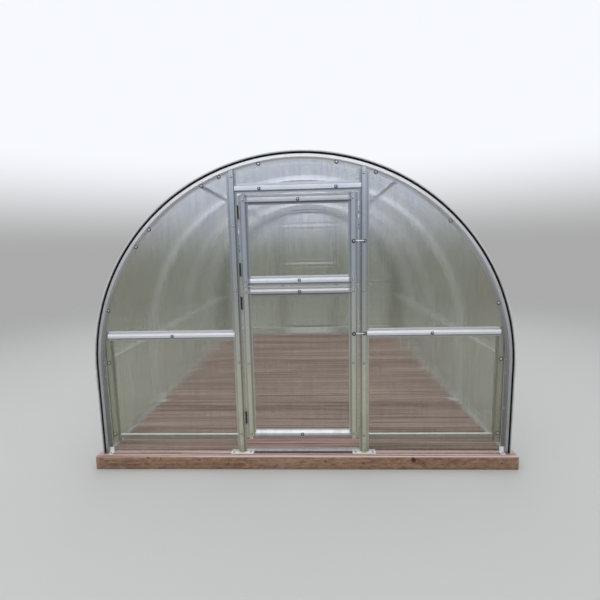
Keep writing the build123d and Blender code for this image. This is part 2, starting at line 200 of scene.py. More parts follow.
class NodeSketch:
    """Adds shader nodes to one tree and joins them."""

    def __init__(self, tree: bpy.types.NodeTree) -> None:
        """Start on a tree whose old nodes are taken out."""
        self.tree = tree
        tree.nodes.clear()

    def feed(self, node: bpy.types.Node, feeds: dict) -> bpy.types.Node:
        """Join or set a node's inputs.

        Args:
            node: The node.
            feeds: The socket or value that each input takes, by name or number.

        Returns:
            The same node.
        """
        for key, value in feeds.items():
            if isinstance(value, Socket):
                self.tree.links.new(value, node.inputs[key])
            else:
                node.inputs[key].default_value = value
        return node

    def add(self, kind: str, feeds: Optional[dict] = None, **settings: object) -> bpy.types.Node:
        """Add one node.

        Args:
            kind: The node's type without its ShaderNode prefix.
            feeds: What its inputs take, by name or number.
            settings: The node's own settings.

        Returns:
            The new node.
        """
        node = self.tree.nodes.new("ShaderNode" + kind)
        for name, value in settings.items():
            setattr(node, name, value)
        return self.feed(node, feeds or {})

    def effect(self, tree: bpy.types.NodeTree, feeds: dict) -> dict[str, Socket]:
        """Place a node group.

        Args:
            tree: The group.
            feeds: What its inputs take, by name.

        Returns:
            Its outputs by name.
        """
        node = self.tree.nodes.new("ShaderNodeGroup")
        node.node_tree = tree
        return {socket.name: socket for socket in self.feed(node, feeds).outputs}

    def math(self, operation: str, *feeds: Feed) -> Socket:
        """Result of a Math node with these inputs."""
        return self.add("Math", dict(enumerate(feeds)), operation=operation).outputs[0]

    def vector(self, operation: str, *feeds: Feed) -> Socket:
        """Result of a Vector Math node with these inputs, a value where it measures a length."""
        outputs = self.add("VectorMath", dict(enumerate(feeds)), operation=operation).outputs
        return outputs["Value" if operation in ("DISTANCE", "LENGTH") else "Vector"]

    def split(self, vector: Feed) -> tuple[Socket, ...]:
        """The x, y and z of a vector."""
        return tuple(self.add("SeparateXYZ", {0: vector}).outputs)

    def joined(self, *feeds: Feed) -> Socket:
        """The vector with these values as its x, y and z."""
        return self.add("CombineXYZ", dict(enumerate(feeds))).outputs[0]

    def ramp(self, value: Feed, low: float, high: float, low_out: float = 0.0, high_out: float = 1.0
             ) -> Socket:
        """Smooth step of a value from low to high, put out between two levels.

        Args:
            value: What is read.
            low: The value that gives low_out.
            high: The value that gives high_out.
            low_out: What is put out at low.
            high_out: What is put out at high.

        Returns:
            The stepped value.
        """
        feeds = {0: value, 1: low, 2: high, 3: low_out, 4: high_out}
        return self.add("MapRange", feeds, interpolation_type="SMOOTHSTEP").outputs[0]

    def between(self, share: Feed, first: Feed, second: Feed) -> Socket:
        """Value between two values, by the second one's share."""
        return self.add("Mix", {0: share, 2: first, 3: second}, data_type="FLOAT").outputs[0]

    def mix(self, share: Feed, first: Feed, second: Feed) -> Socket:
        """Colour between two colours or sockets, by the second one's share."""
        feeds = {0: share, 6: opaque(first), 7: opaque(second)}
        return self.add("Mix", feeds, data_type="RGBA").outputs[2]

    def tinted(self, colour: Feed, painted_tint: Feed) -> Socket:
        """A colour times a tint."""
        feeds = {0: 1.0, 6: opaque(colour), 7: opaque(painted_tint)}
        return self.add("Mix", feeds, data_type="RGBA", blend_type="MULTIPLY").outputs[2]

    def noise(self, vector: Feed, scale: Point, detail: float = 3.0, roughness: float = 0.5,
              distortion: float = 0.0) -> Socket:
        """Noise with its own frequency on each axis.

        Args:
            vector: Position in metres.
            scale: Waves a metre along each axis.
            detail: Octaves.
            roughness: How strong the finer octaves are.
            distortion: How far the noise is bent by itself.

        Returns:
            Values about 0.5.
        """
        feeds = {
            "Vector": self.vector("MULTIPLY", vector, scale), "Scale": 1.0, "Detail": detail,
            "Roughness": roughness, "Distortion": distortion,
        }
        return self.add("TexNoise", feeds).outputs[0]

    def to_world(self, way: Feed) -> Socket:
        """A direction on the piece as a direction in the world."""
        settings = {"vector_type": "VECTOR", "convert_from": "OBJECT", "convert_to": "WORLD"}
        return self.add("VectorTransform", {0: way}, **settings).outputs[0]

    def place(self) -> Socket:
        """Position on the piece in metres."""
        return self.add("TexCoord").outputs["Object"]

    def own_normal(self) -> tuple[Socket, ...]:
        """The x, y and z of the face's normal on the piece itself."""
        return self.split(self.add("TexCoord").outputs["Normal"])

    def upward(self) -> Socket:
        """How far the face looks up, from -1 to 1."""
        return self.split(self.add("NewGeometry").outputs["Normal"])[2]

    def looked_at(self) -> Socket:
        """Find the rays that come from the camera, straight or by way of glass and metal.

        Returns:
            1 for those rays and 0 for the light's own.
        """
        path = self.add("LightPath").outputs
        seen = self.math("MAXIMUM", path["Is Camera Ray"], path["Is Transmission Ray"])
        return self.math("MAXIMUM", seen, path["Is Glossy Ray"])

    def bump(self, height: Feed, distance: float, strength: float = 1.0) -> Socket:
        """Normal bent by a height whose 1 stands for a distance in metres."""
        return self.add("Bump", {"Height": height, "Distance": distance, "Strength": strength}).outputs[0]

    def blend(self, share: Feed, first: bpy.types.Node, second: bpy.types.Node) -> bpy.types.Node:
        """Shader between two shaders, by the second one's share."""
        return self.add("MixShader", {0: share, 1: first.outputs[0], 2: second.outputs[0]})

    def show(self, shader: bpy.types.Node, output: str = "OutputMaterial") -> None:
        """Put a shader on the tree's output."""
        self.add(output, {"Surface": shader.outputs[0]})


def opaque(value: Feed) -> Feed:
    """A colour with full alpha, or the socket as it is."""
    return value if isinstance(value, Socket) else (*value, 1.0)


FLOAT = "NodeSocketFloat"
VECTOR = "NodeSocketVector"
NO_VECTOR: Point = (0.0, 0.0, 0.0)


class EffectGroup:
    """A shader node group with named inputs and outputs."""

    def __init__(self, name: str, inputs: dict[str, Feed], outputs: Sequence[str]) -> None:
        """Make the group's sockets.

        Args:
            name: The group's name.
            inputs: First value of each input, by name. Three numbers make it a vector.
            outputs: Names of the outputs, which are values, and a vector where the name is Normal.
        """
        self.tree = bpy.data.node_groups.new(name, "ShaderNodeTree")
        for label, value in inputs.items():
            kind = VECTOR if isinstance(value, tuple) else FLOAT
            socket = self.tree.interface.new_socket(label, in_out="INPUT", socket_type=kind)
            socket.default_value = value
        for label in outputs:
            kind = VECTOR if label == "Normal" else FLOAT
            self.tree.interface.new_socket(label, in_out="OUTPUT", socket_type=kind)
        self.sketch = NodeSketch(self.tree)
        entry = self.tree.nodes.new("NodeGroupInput")
        self.read = {socket.name: socket for socket in entry.outputs if socket.name}
        self.exit = self.tree.nodes.new("NodeGroupOutput")

    def give(self, **values: Socket) -> bpy.types.NodeTree:
        """Join the group's outputs.

        Args:
            values: What each output shows, by name.

        Returns:
            The finished group.
        """
        self.sketch.feed(self.exit, values)
        return self.tree


@dataclass(frozen=True)
class HatSection:
    """Distances from a hat section's centre line at which its painted shade changes, each from and to."""

    web_edge: Span = (0.0148, 0.0178)
    web_rise: Span = (-0.003, 0.005)
    corner_starts: Span = (0.0140, 0.0170)
    corner_ends: Span = (0.020, 0.027)


class Effects:
    """The node groups that the finishes share, each built once."""

    def __init__(self) -> None:
        """Build every group."""
        self.flutes = self._flutes()
        self.grain = self._grain()
        self.spangle = self._spangle()
        self.combed = self._combed()
        self.painted_fold_shade = self._painted_fold_shade(HatSection())
        self.rolled = self._rolled()
        self.grime = self._grime()
        self.worn_edges = self._worn_edges()

    @staticmethod
    def _flutes() -> bpy.types.NodeTree:
        """Ribs inside a multiwall sheet and its long streaks.

        Returns:
            The group.
        """
        group = EffectGroup(
            "sheet_flutes", {"Across": 0.0, "Run": 0.0, "Pitch": 0.006}, ("Rib", "Streak"),
        )
        sketch, read = group.sketch, group.read
        turns = sketch.math("DIVIDE", read["Across"], read["Pitch"])
        wave = sketch.math("ABSOLUTE", sketch.math("SINE", sketch.math("MULTIPLY", turns, math.pi)))
        rib = sketch.ramp(wave, 0.0, 0.30, 1.0, 0.0)
        place = sketch.joined(read["Across"], read["Run"])
        wide = sketch.noise(place, (38.0, 0.9, 1.0), detail=4.0, roughness=0.7)
        fine = sketch.noise(place, (95.0, 6.0, 1.0), detail=1.0)
        return group.give(Rib=rib, Streak=sketch.between(0.55, wide, fine))

    @staticmethod
    def _combed() -> bpy.types.NodeTree:
        """A face's normal, rocked to and fro across the way that the piece was drawn through its tools.

        The vector has that way as its X. Along is the same way on the piece itself. Lift turns the
        normal upwards.

        Returns:
            The group.
        """
        group = EffectGroup(
            "combed_normal",
            {"Vector": NO_VECTOR, "Along": (1.0, 0.0, 0.0), "Fine": 1.0, "Broad": 0.2, "Lift": 0.0},
            ("Normal",),
        )
        sketch, read = group.sketch, group.read
        fine = sketch.noise(read["Vector"], (1.5, 4000.0, 4000.0), detail=0.0)
        broad = sketch.noise(read["Vector"], (0.6, 45.0, 45.0), detail=1.0)
        tilt = sketch.math("MULTIPLY", sketch.math("SUBTRACT", fine, 0.5), read["Fine"])
        sway = sketch.math("MULTIPLY", sketch.math("SUBTRACT", broad, 0.5), read["Broad"])
        rock = sketch.math("ADD", tilt, sway)
        face = sketch.add("NewGeometry").outputs["Normal"]
        across = sketch.vector("CROSS_PRODUCT", face, sketch.to_world(read["Along"]))
        across = sketch.vector("NORMALIZE", across)
        across = sketch.vector("MULTIPLY", across, sketch.joined(rock, rock, rock))
        normal = sketch.vector("ADD", face, across)
        normal = sketch.vector("ADD", normal, sketch.joined(0.0, 0.0, read["Lift"]))
        return group.give(Normal=sketch.vector("NORMALIZE", normal))

    @staticmethod
    def _painted_fold_shade(section: HatSection) -> bpy.types.NodeTree:
        """Painted shade over a hat section, by the distance from its centre line.

        Low Side, High Side and Belly say how bright its two flanges and the lower half of its web stay.
        Crown is the upper half of the web.

        Args:
            section: Where the tone changes.

        Returns:
            The group.
        """
        group = EffectGroup(
            "hat_painted_shade",
            {"Across": 0.0, "Low Side": 1.0, "High Side": 1.0, "Belly": 1.0, "Corner": 0.7},
            ("Shade", "Crown"),
        )
        sketch, read = group.sketch, group.read
        across = read["Across"]
        reach = sketch.math("ABSOLUTE", across)
        near, far = section.web_edge
        low = sketch.ramp(across, -far, -near, 1.0, 0.0)
        high = sketch.ramp(across, near, far)
        web = sketch.math("SUBTRACT", 1.0, sketch.math("ADD", low, high))
        rise = sketch.ramp(across, *section.web_rise)
        shade = sketch.math("MULTIPLY", web, sketch.between(rise, read["Belly"], 1.0))
        shade = sketch.math("MULTIPLY_ADD", low, read["Low Side"], shade)
        shade = sketch.math("MULTIPLY_ADD", high, read["High Side"], shade)
        # Painted shade along the bends beside the web.
        corner = sketch.math(
            "MULTIPLY", sketch.ramp(reach, *section.corner_starts),
            sketch.ramp(reach, *section.corner_ends, 1.0, 0.0),
        )
        shade = sketch.math("MULTIPLY", shade, sketch.between(corner, 1.0, read["Corner"]))
        return group.give(Shade=shade, Crown=sketch.math("MULTIPLY", web, rise))

    @staticmethod
    def _grain() -> bpy.types.NodeTree:
        """Timber with its grain along the vector's X: rings, fibres and knots.

        Returns:
            The group.
        """
        group = EffectGroup(
            "timber_grain",
            {"Vector": NO_VECTOR, "Rings": 1.0, "Knots": 0.1},
            ("Ring", "Fibre", "Knot", "Height"),
        )
        sketch, read = group.sketch, group.read
        cells = sketch.add("TexVoronoi", {
            "Vector": sketch.vector("MULTIPLY", read["Vector"], (1.7, 9.0, 9.0)), "Scale": 1.0,
            "Randomness": 0.9,
        }).outputs["Distance"]
        knot = sketch.math("SUBTRACT", 1.0, sketch.math("DIVIDE", cells, read["Knots"]))
        knot = sketch.ramp(knot, 0.0, 0.5)
        around = sketch.ramp(cells, 0.0, 0.35, 0.30, 0.0)
        bands = sketch.noise(read["Vector"], (1.1, 16.0, 16.0), detail=5.0, roughness=0.62, distortion=0.7)
        bands = sketch.math("ADD", bands, around)
        ring = sketch.math("MULTIPLY", bands, sketch.math("MULTIPLY", read["Rings"], 21.0))
        ring = sketch.math("MULTIPLY_ADD", sketch.math("SINE", ring), 0.5, 0.5)
        fibre = sketch.noise(read["Vector"], (7.0, 210.0, 210.0), detail=3.0, roughness=0.6)
        height = sketch.between(0.3, fibre, ring)
        height = sketch.math("SUBTRACT", height, sketch.math("MULTIPLY", knot, 0.6))
        return group.give(Ring=ring, Fibre=fibre, Knot=knot, Height=height)

    @staticmethod
    def _spangle() -> bpy.types.NodeTree:
        """Zinc crystals of a galvanised face and the cloudy tone over them.

        Returns:
            The group.
        """
        group = EffectGroup(
            "zinc_spangle", {"Vector": NO_VECTOR, "Crystals": 120.0, "Cloud": 0.5}, ("Shade",),
        )
        sketch, read = group.sketch, group.read
        cells = sketch.add("TexVoronoi", {"Vector": read["Vector"], "Scale": read["Crystals"]})
        tone = sketch.add("SeparateColor", {0: cells.outputs["Color"]}).outputs[0]
        cloud = sketch.noise(read["Vector"], (3.0, 3.0, 3.0), detail=5.0, roughness=0.7)
        return group.give(Shade=sketch.between(read["Cloud"], tone, sketch.ramp(cloud, 0.32, 0.68)))

    @staticmethod
    def _rolled() -> bpy.types.NodeTree:
        """Lines that the rolls leave along a steel section, along the vector's X.

        Returns:
            The group.
        """
        group = EffectGroup("rolled_lines", {"Vector": NO_VECTOR}, ("Line",))
        line = group.sketch.noise(group.read["Vector"], (0.35, 130.0, 130.0), detail=2.0, roughness=0.6)
        return group.give(Line=group.sketch.ramp(line, 0.36, 0.64))

    @staticmethod
    def _grime() -> bpy.types.NodeTree:
        """Splashed soil that thins out from a low height to a high one.

        Returns:
            The group.
        """
        group = EffectGroup(
            "splashed_grime", {"Vector": NO_VECTOR, "Low": 0.1, "High": 0.5}, ("Grime",),
        )
        sketch, read = group.sketch, group.read
        height = sketch.split(read["Vector"])[2]
        fade = sketch.add("MapRange", {0: height, 1: read["Low"], 2: read["High"], 3: 1.0, 4: 0.0})
        patches = sketch.noise(read["Vector"], (9.0, 9.0, 4.0), detail=6.0, roughness=0.75)
        patches = sketch.ramp(patches, 0.40, 0.72)
        return group.give(Grime=sketch.math("MULTIPLY", fade.outputs[0], patches))

    @staticmethod
    def _worn_edges() -> bpy.types.NodeTree:
        """Edges of a piece that sun and hands have bleached, broken up by noise.

        Returns:
            The group.
        """
        group = EffectGroup("worn_edges", {"Vector": NO_VECTOR, "Width": 0.08}, ("Wear",))
        sketch, read = group.sketch, group.read
        sharp = sketch.add("NewGeometry").outputs["Pointiness"]
        sharp = sketch.math("DIVIDE", sketch.math("SUBTRACT", sharp, 0.5), read["Width"])
        broken = sketch.noise(read["Vector"], (24.0, 24.0, 24.0), detail=5.0, roughness=0.7)
        wear = sketch.math("MULTIPLY", sharp, sketch.ramp(broken, 0.30, 0.55))
        return group.give(Wear=sketch.ramp(wear, 0.10, 0.70))


EFFECTS = Effects()
MADE: dict[str, bpy.types.Material] = {}


@dataclass(frozen=True)
class Finish:
    """What every finish has: its name and the record's material slot that it belongs to."""

    name: str
    slot: Slot

    def material(self) -> bpy.types.Material:
        """Build the finish's material when it is first asked for.

        Returns:
            The material.
        """
        if self.name not in MADE:
            made = bpy.data.materials.new(self.name)
            made.use_nodes = True
            self.draw(NodeSketch(made.node_tree))
            MADE[self.name] = made
        return MADE[self.name]

    def draw(self, sketch: NodeSketch) -> None:
        """Build the finish's nodes in an empty tree."""
        raise NotImplementedError

    @staticmethod
    def soiled(sketch: NodeSketch, place: Socket, heights: Span) -> Socket:
        """Mask of the splashed soil, which thins out between two heights."""
        feeds = {"Vector": place, "Low": heights[0], "High": heights[1]}
        return sketch.effect(EFFECTS.grime, feeds)["Grime"]


@dataclass(frozen=True)
class DrawnFinish(Finish):
    """A finish whose lines follow the way that the piece was rolled or drawn."""

    roll: Roll
    arch_height: float = ARCH_CENTRE
    stile_line: float = 0.343

    def on_stile(self, sketch: NodeSketch, x: Feed) -> Socket:
        """1 on a leaf's stiles and 0 on its rails, by the distance from the door's middle."""
        return sketch.math("GREATER_THAN", sketch.math("ABSOLUTE", x), self.stile_line)

    def combed(self, sketch: NodeSketch, place: Socket, fine: float, broad: float,
               lift: Feed = 0.0) -> tuple[Socket, Feed, Socket]:
        """Follow the roll over the piece.

        Args:
            sketch: The material's nodes.
            place: Position on the piece.
            fine: How far the finest lines rock the normal.
            broad: How far the broad ones do.
            lift: How far it is turned upwards.

        Returns:
            Position with the way of the roll as its X, that way itself, and the combed normal.
        """
        x, y, z = sketch.split(place)
        along: Feed
        if self.roll is Roll.ROUND:
            rise = sketch.math("MAXIMUM", sketch.math("SUBTRACT", z, self.arch_height), 0.0)
            squares = sketch.math("ADD", sketch.math("MULTIPLY", x, x), sketch.math("MULTIPLY", rise, rise))
            turned = sketch.joined(sketch.math("MULTIPLY", z, 0.5), sketch.math("SQRT", squares), y)
            along = sketch.joined(sketch.math("MULTIPLY", rise, -1.0), 0.0, x)
        elif self.roll is Roll.LEAF:
            stile = self.on_stile(sketch, x)
            upright = sketch.joined(z, x, y)
            turned = sketch.add("Mix", {0: stile, 4: place, 5: upright}, data_type="VECTOR").outputs[1]
            along = sketch.joined(sketch.math("SUBTRACT", 1.0, stile), 0.0, stile)
        else:
            order, along = {
                Roll.ACROSS: ((x, y, z), (1.0, 0.0, 0.0)),
                Roll.LENGTHWISE: ((y, x, z), (0.0, 1.0, 0.0)),
                Roll.UPRIGHT: ((z, x, y), (0.0, 0.0, 1.0)),
            }[self.roll]
            turned = sketch.joined(*order)
        feeds = {"Vector": turned, "Along": along, "Fine": fine, "Broad": broad, "Lift": lift}
        return turned, along, sketch.effect(EFFECTS.combed, feeds)["Normal"]


@dataclass(frozen=True)
class PaintedFoldShade:
    """Where a piece's hat sections run and how bright each part of them stays under painted shade.

    An upright is counted from the house's middle, so its low side is the inner one.
    """

    rail_lines: tuple[float, ...] = (0.0,)
    upright_line: float = 0.0
    low_side: float = 0.45
    high_side: float = 0.80
    inner_side: float = 0.72
    outer_side: float = 0.88
    belly: float = 0.80
    corner: float = 0.70
    lift: float = 0.22
    # Painted shade: how much darker the uprights and each rail are kept, for how light falls on them.
    upright_web_painted_shade: float = 1.0
    rail_painted_shades: tuple[float, ...] = (1.0,)
    rail_painted_tint_share: float = 1.0


WHITE: Colour = (1.0, 1.0, 1.0)
# Painted light: the near-white colour put on faces that look into the house.
PAINTED_LIGHT_ZINC: Colour = (0.97, 0.98, 1.0)


@dataclass(frozen=True)
class SteelFinish(DrawnFinish):
    """Galvanised or zinc plated steel.

    The painted tints run from the low one at the first of the two heights to the high one at the second,
    as painted reflection and shade by height. An inner face is one that looks into the house and takes
    painted light, and a top is one that looks up.
    """

    bright: Colour = (0.70, 0.715, 0.735)
    dull: Colour = (0.50, 0.515, 0.510)
    grime: Colour = (0.16, 0.14, 0.11)
    shadow: Colour = (0.02, 0.02, 0.02)
    # Near-black of the ring round the hinge pin.
    pin_dark: Colour = (0.010, 0.010, 0.010)
    metal: float = 0.88
    roughness: float = 0.40
    brushed: float = 0.85
    crystals: float = 120.0
    cloud: float = 0.5
    grime_heights: Span = (0.08, 0.45)
    grime_share: float = 0.45
    fine_lines: float = 0.10
    broad_lines: float = 0.45
    painted_fold_shade: Optional[PaintedFoldShade] = None
    # Painted reflection and shade by height: each piece's low and high colour stand in for the light it
    # catches there.
    painted_tint_heights: Span = (0.3, 2.0)
    low_painted_tint: Colour = (0.83, 0.83, 0.82)
    high_painted_tint: Colour = WHITE
    # Colour of faces that look up: soil on the trodden sill, and a painted highlight on the inner rails.
    top: Optional[Colour] = None
    # Painted light on faces that look into the house.
    inner_painted_light: Optional[Colour] = None
    # Painted shade on the arch's inner flange, inside the given radius.
    flange_edge: Span = (1.456, 1.458)
    flange_painted_shade: float = 1.0
    # A near-black ring round the hinge pin's axis, within the given reach.
    dark_at_pin: bool = False
    pin_axis: Point = (0.4135, 2.009, 0.0)
    pin_dark_reach: Span = (0.0060, 0.0080)

    def painted_section_shade(self, sketch: NodeSketch, place: Socket) -> dict[str, Socket]:
        """Work out the painted shade over the hat section at each point of the piece.

        Args:
            sketch: The material's nodes.
            place: Position on the piece.

        Returns:
            Painted shade of the section, how far its Crown is turned upwards, and the share of the
            painted height tint.
        """
        painted_fold_shade = self.painted_fold_shade
        x, _, z = sketch.split(place)
        side = sketch.math("SUBTRACT", sketch.math("ABSOLUTE", x), painted_fold_shade.upright_line)
        rail: Feed = sketch.math("SUBTRACT", z, painted_fold_shade.rail_lines[0])
        rail_painted_shade: Feed = painted_fold_shade.rail_painted_shades[0]
        if len(painted_fold_shade.rail_lines) > 1:
            upper = sketch.math("GREATER_THAN", z, sum(painted_fold_shade.rail_lines) / 2)
            step = painted_fold_shade.rail_lines[1] - painted_fold_shade.rail_lines[0]
            rail = sketch.math("SUBTRACT", rail, sketch.math("MULTIPLY", upper, step))
            rail_painted_shade = sketch.between(upper, *painted_fold_shade.rail_painted_shades)
        if self.roll is Roll.LEAF:
            stile: Feed = self.on_stile(sketch, x)
        else:
            stile = 1.0 if self.roll is Roll.UPRIGHT else 0.0

        def either(upright: Feed, level: Feed) -> Socket:
            """The upright's value on stiles and posts, and the rail's on rails."""
            return sketch.between(stile, level, upright)

        tones = sketch.effect(EFFECTS.painted_fold_shade, {
            "Across": either(side, rail),
            "Low Side": either(painted_fold_shade.inner_side, painted_fold_shade.low_side),
            "High Side": either(painted_fold_shade.outer_side, painted_fold_shade.high_side),
            "Belly": either(1.0, painted_fold_shade.belly),
            "Corner": painted_fold_shade.corner,
        })
        return {
            "Shade": sketch.math("MULTIPLY", tones["Shade"], either(painted_fold_shade.upright_web_painted_shade, rail_painted_shade)),
            "Crown": sketch.math("MULTIPLY", tones["Crown"], either(0.0, painted_fold_shade.lift)),
            "Tint": either(1.0, painted_fold_shade.rail_painted_tint_share),
        }

    def shaded(self, sketch: NodeSketch, place: Socket, turned: Socket, section: dict[str, Socket],
               colour: Socket) -> Socket:
        """Tone the zinc where the face looks up, and paint reflection and shade on it by height, section
        and flange.

        Args:
            sketch: The material's nodes.
            place: Position on the piece.
            turned: The same with the way of the roll as its X.
            section: What folded gives, or nothing on a plain piece.
            colour: The zinc's colour.

        Returns:
            The toned colour.
        """
        # Faces that look up: soil on the sill, a painted highlight on the inner rails.
        if self.top:
            colour = sketch.mix(sketch.ramp(sketch.upward(), 0.5, 0.9), colour, self.top)
        # Painted reflection and shade by height.
        height = sketch.split(place)[2]
        painted_tint = sketch.mix(sketch.ramp(height, *self.painted_tint_heights), self.low_painted_tint, self.high_painted_tint)
        if section:
            painted_tint = sketch.mix(section["Tint"], WHITE, painted_tint)
        colour = sketch.tinted(colour, painted_tint)
        # Painted shade over the hat section.
        if section:
            colour = sketch.mix(section["Shade"], self.shadow, colour)
        # Painted shade on the arch's inner flange.
        if self.flange_painted_shade < 1.0:
            radius = sketch.split(turned)[1]
            flange = sketch.ramp(radius, *self.flange_edge, self.flange_painted_shade, 1.0)
            colour = sketch.mix(flange, self.shadow, colour)
        return colour

    def overlays(self, sketch: NodeSketch, place: Socket) -> list[tuple[Socket, Colour]]:
        """Find where the zinc takes a flat colour in place of its shine: painted light on faces that
        look into the house, and a near-black ring round the hinge pin.

        Args:
            sketch: The material's nodes.
            place: Position on the piece.

        Returns:
            The mask and colour of each overlay.
        """
        overlays = []
        # Painted light on faces that look into the house.
        if self.inner_painted_light:
            facing = sketch.own_normal()[1]
            inwards = sketch.math("MULTIPLY", facing, sketch.math("SIGN", sketch.split(place)[1]))
            overlays.append((sketch.ramp(inwards, -0.8, -0.3, 1.0, 0.0), self.inner_painted_light))
        # A near-black ring round the hinge pin's axis.
        if self.dark_at_pin:
            mirrored = sketch.vector("ABSOLUTE", place)
            flat = sketch.vector("MULTIPLY", mirrored, (1.0, 1.0, 0.0))
            reach = sketch.vector("DISTANCE", flat, self.pin_axis)
            overlays.append((sketch.ramp(reach, *self.pin_dark_reach, 1.0, 0.0), self.pin_dark))
        return overlays

    def draw(self, sketch: NodeSketch) -> None:
        """Build spangle, rolled lines, tone, splashed grime, painted light and shade, and the overlays.

        Args:
            sketch: The material's nodes.
        """
        place = sketch.place()
        section = self.painted_section_shade(sketch, place) if self.painted_fold_shade else {}
        turned, along, normal = self.combed(
            sketch, place, self.fine_lines, self.broad_lines, section.get("Crown", 0.0),
        )
        line = sketch.effect(EFFECTS.rolled, {"Vector": turned})["Line"]
        spangle = sketch.effect(EFFECTS.spangle, {
            "Vector": place, "Crystals": self.crystals, "Cloud": self.cloud,
        })["Shade"]
        soiled = self.soiled(sketch, place, self.grime_heights)
        soiled = sketch.math("MULTIPLY", soiled, self.grime_share)
        colour = sketch.mix(sketch.between(0.5, line, spangle), self.dull, self.bright)
        colour = sketch.mix(soiled, colour, self.grime)
        colour = self.shaded(sketch, place, turned, section, colour)
        metal: Feed = self.metal
        for mask, overlay in self.overlays(sketch, place):
            colour = sketch.mix(mask, colour, overlay)
            metal = sketch.between(mask, metal, 0.0)
        rough = sketch.ramp(spangle, 0.0, 1.0, self.roughness + 0.10, self.roughness - 0.04)
        sketch.show(sketch.add("BsdfPrincipled", {
            "Base Color": colour,
            "Metallic": metal,
            "Roughness": sketch.math("MULTIPLY_ADD", soiled, 0.5, rough),
            "Anisotropic": self.brushed,
            "Anisotropic Rotation": 0.25,
            "Tangent": sketch.to_world(along),
            "Normal": normal,
        }))


@dataclass(frozen=True)
class SheetFinish(DrawnFinish):
    """Clear multiwall sheet, with its flutes counted along one axis.

    The colours change from the lower pair to the upper one between the two given heights. The lower pair
    carries painted shade and the painted green of grass seen through, and the upper pair is a painted
    reflection of the sky with painted glints along the streaks.
    """

    flutes: Along = Along.X
    # The lower pair: the sheet's grey and milky ribs, with painted shade and the painted green of grass
    # seen through.
    painted_tint: Colour = (0.61, 0.63, 0.555)
    haze: Colour = (0.74, 0.76, 0.71)
    # The upper pair: a painted reflection of the sky, and painted glints along the streaks.
    painted_sky_tint: Colour = (0.84, 0.885, 1.0)
    painted_sky_glints: Colour = (0.975, 0.99, 1.0)
    painted_sky_heights: Span = (1.38, 1.98)
    cut_edge: Colour = (0.93, 0.95, 0.96)
    soil: Colour = (0.45, 0.40, 0.33)
    soil_heights: Span = (0.10, 0.40)
    soil_share: float = 0.12
    clear: float = 0.97
    roughness: float = 0.012
    rib_haze: float = 0.14
    soil_haze: float = 0.04
    edge_haze: float = 0.5
    pitch: float = 0.006
    fine_lines: float = 0.24
    broad_lines: float = 0.010
    shade: Colour = (0.93, 0.94, 0.94)

    def draw(self, sketch: NodeSketch) -> None:
        """Build ribs, streaks, milky cut edges, painted shade low down and a painted sky reflection high
        up, over clear plastic that lets lamps through.

        Args:
            sketch: The material's nodes.
        """
        place = sketch.place()
        normal = self.combed(sketch, place, self.fine_lines, self.broad_lines)[2]
        x, y, z = sketch.split(place)
        crosswise = self.flutes is Along.X
        flutes = sketch.effect(EFFECTS.flutes, {
            "Across": x if crosswise else y, "Run": z, "Pitch": self.pitch,
        })
        rib, streak = flutes["Rib"], flutes["Streak"]
        soiled = self.soiled(sketch, place, self.soil_heights)
        facing = sketch.math("ABSOLUTE", sketch.own_normal()[1])
        cut = sketch.ramp(facing, 0.3, 0.7, *((1.0, 0.0) if crosswise else (0.0, 1.0)))
        cloudy = sketch.between(0.60, rib, sketch.ramp(streak, 0.36, 0.64))
        # Painted shade and grass low down; painted sky reflection and glints high up.
        lower = sketch.mix(cloudy, self.painted_tint, self.haze)
        upper = sketch.mix(sketch.ramp(streak, 0.42, 0.58), self.painted_sky_tint, self.painted_sky_glints)
        colour = sketch.mix(sketch.ramp(z, *self.painted_sky_heights), lower, upper)
        colour = sketch.mix(sketch.math("MULTIPLY", soiled, self.soil_share), colour, self.soil)
        colour = sketch.mix(cut, colour, self.cut_edge)
        rough: Feed = self.roughness
        for mask, haze in ((rib, self.rib_haze), (soiled, self.soil_haze), (cut, self.edge_haze)):
            rough = sketch.math("MULTIPLY_ADD", mask, haze, rough)
        plastic = sketch.add("BsdfPrincipled", {
            "Base Color": colour,
            "Metallic": 0.0,
            "Roughness": rough,
            "IOR": 1.50,
            "Transmission Weight": self.clear,
            "Normal": normal,
        })
        through = sketch.add("BsdfTransparent", {"Color": opaque(self.shade)})
        path = sketch.add("LightPath").outputs
        lamps = sketch.math("MAXIMUM", path["Is Shadow Ray"], path["Is Diffuse Ray"])
        sketch.show(sketch.blend(lamps, plastic, through))


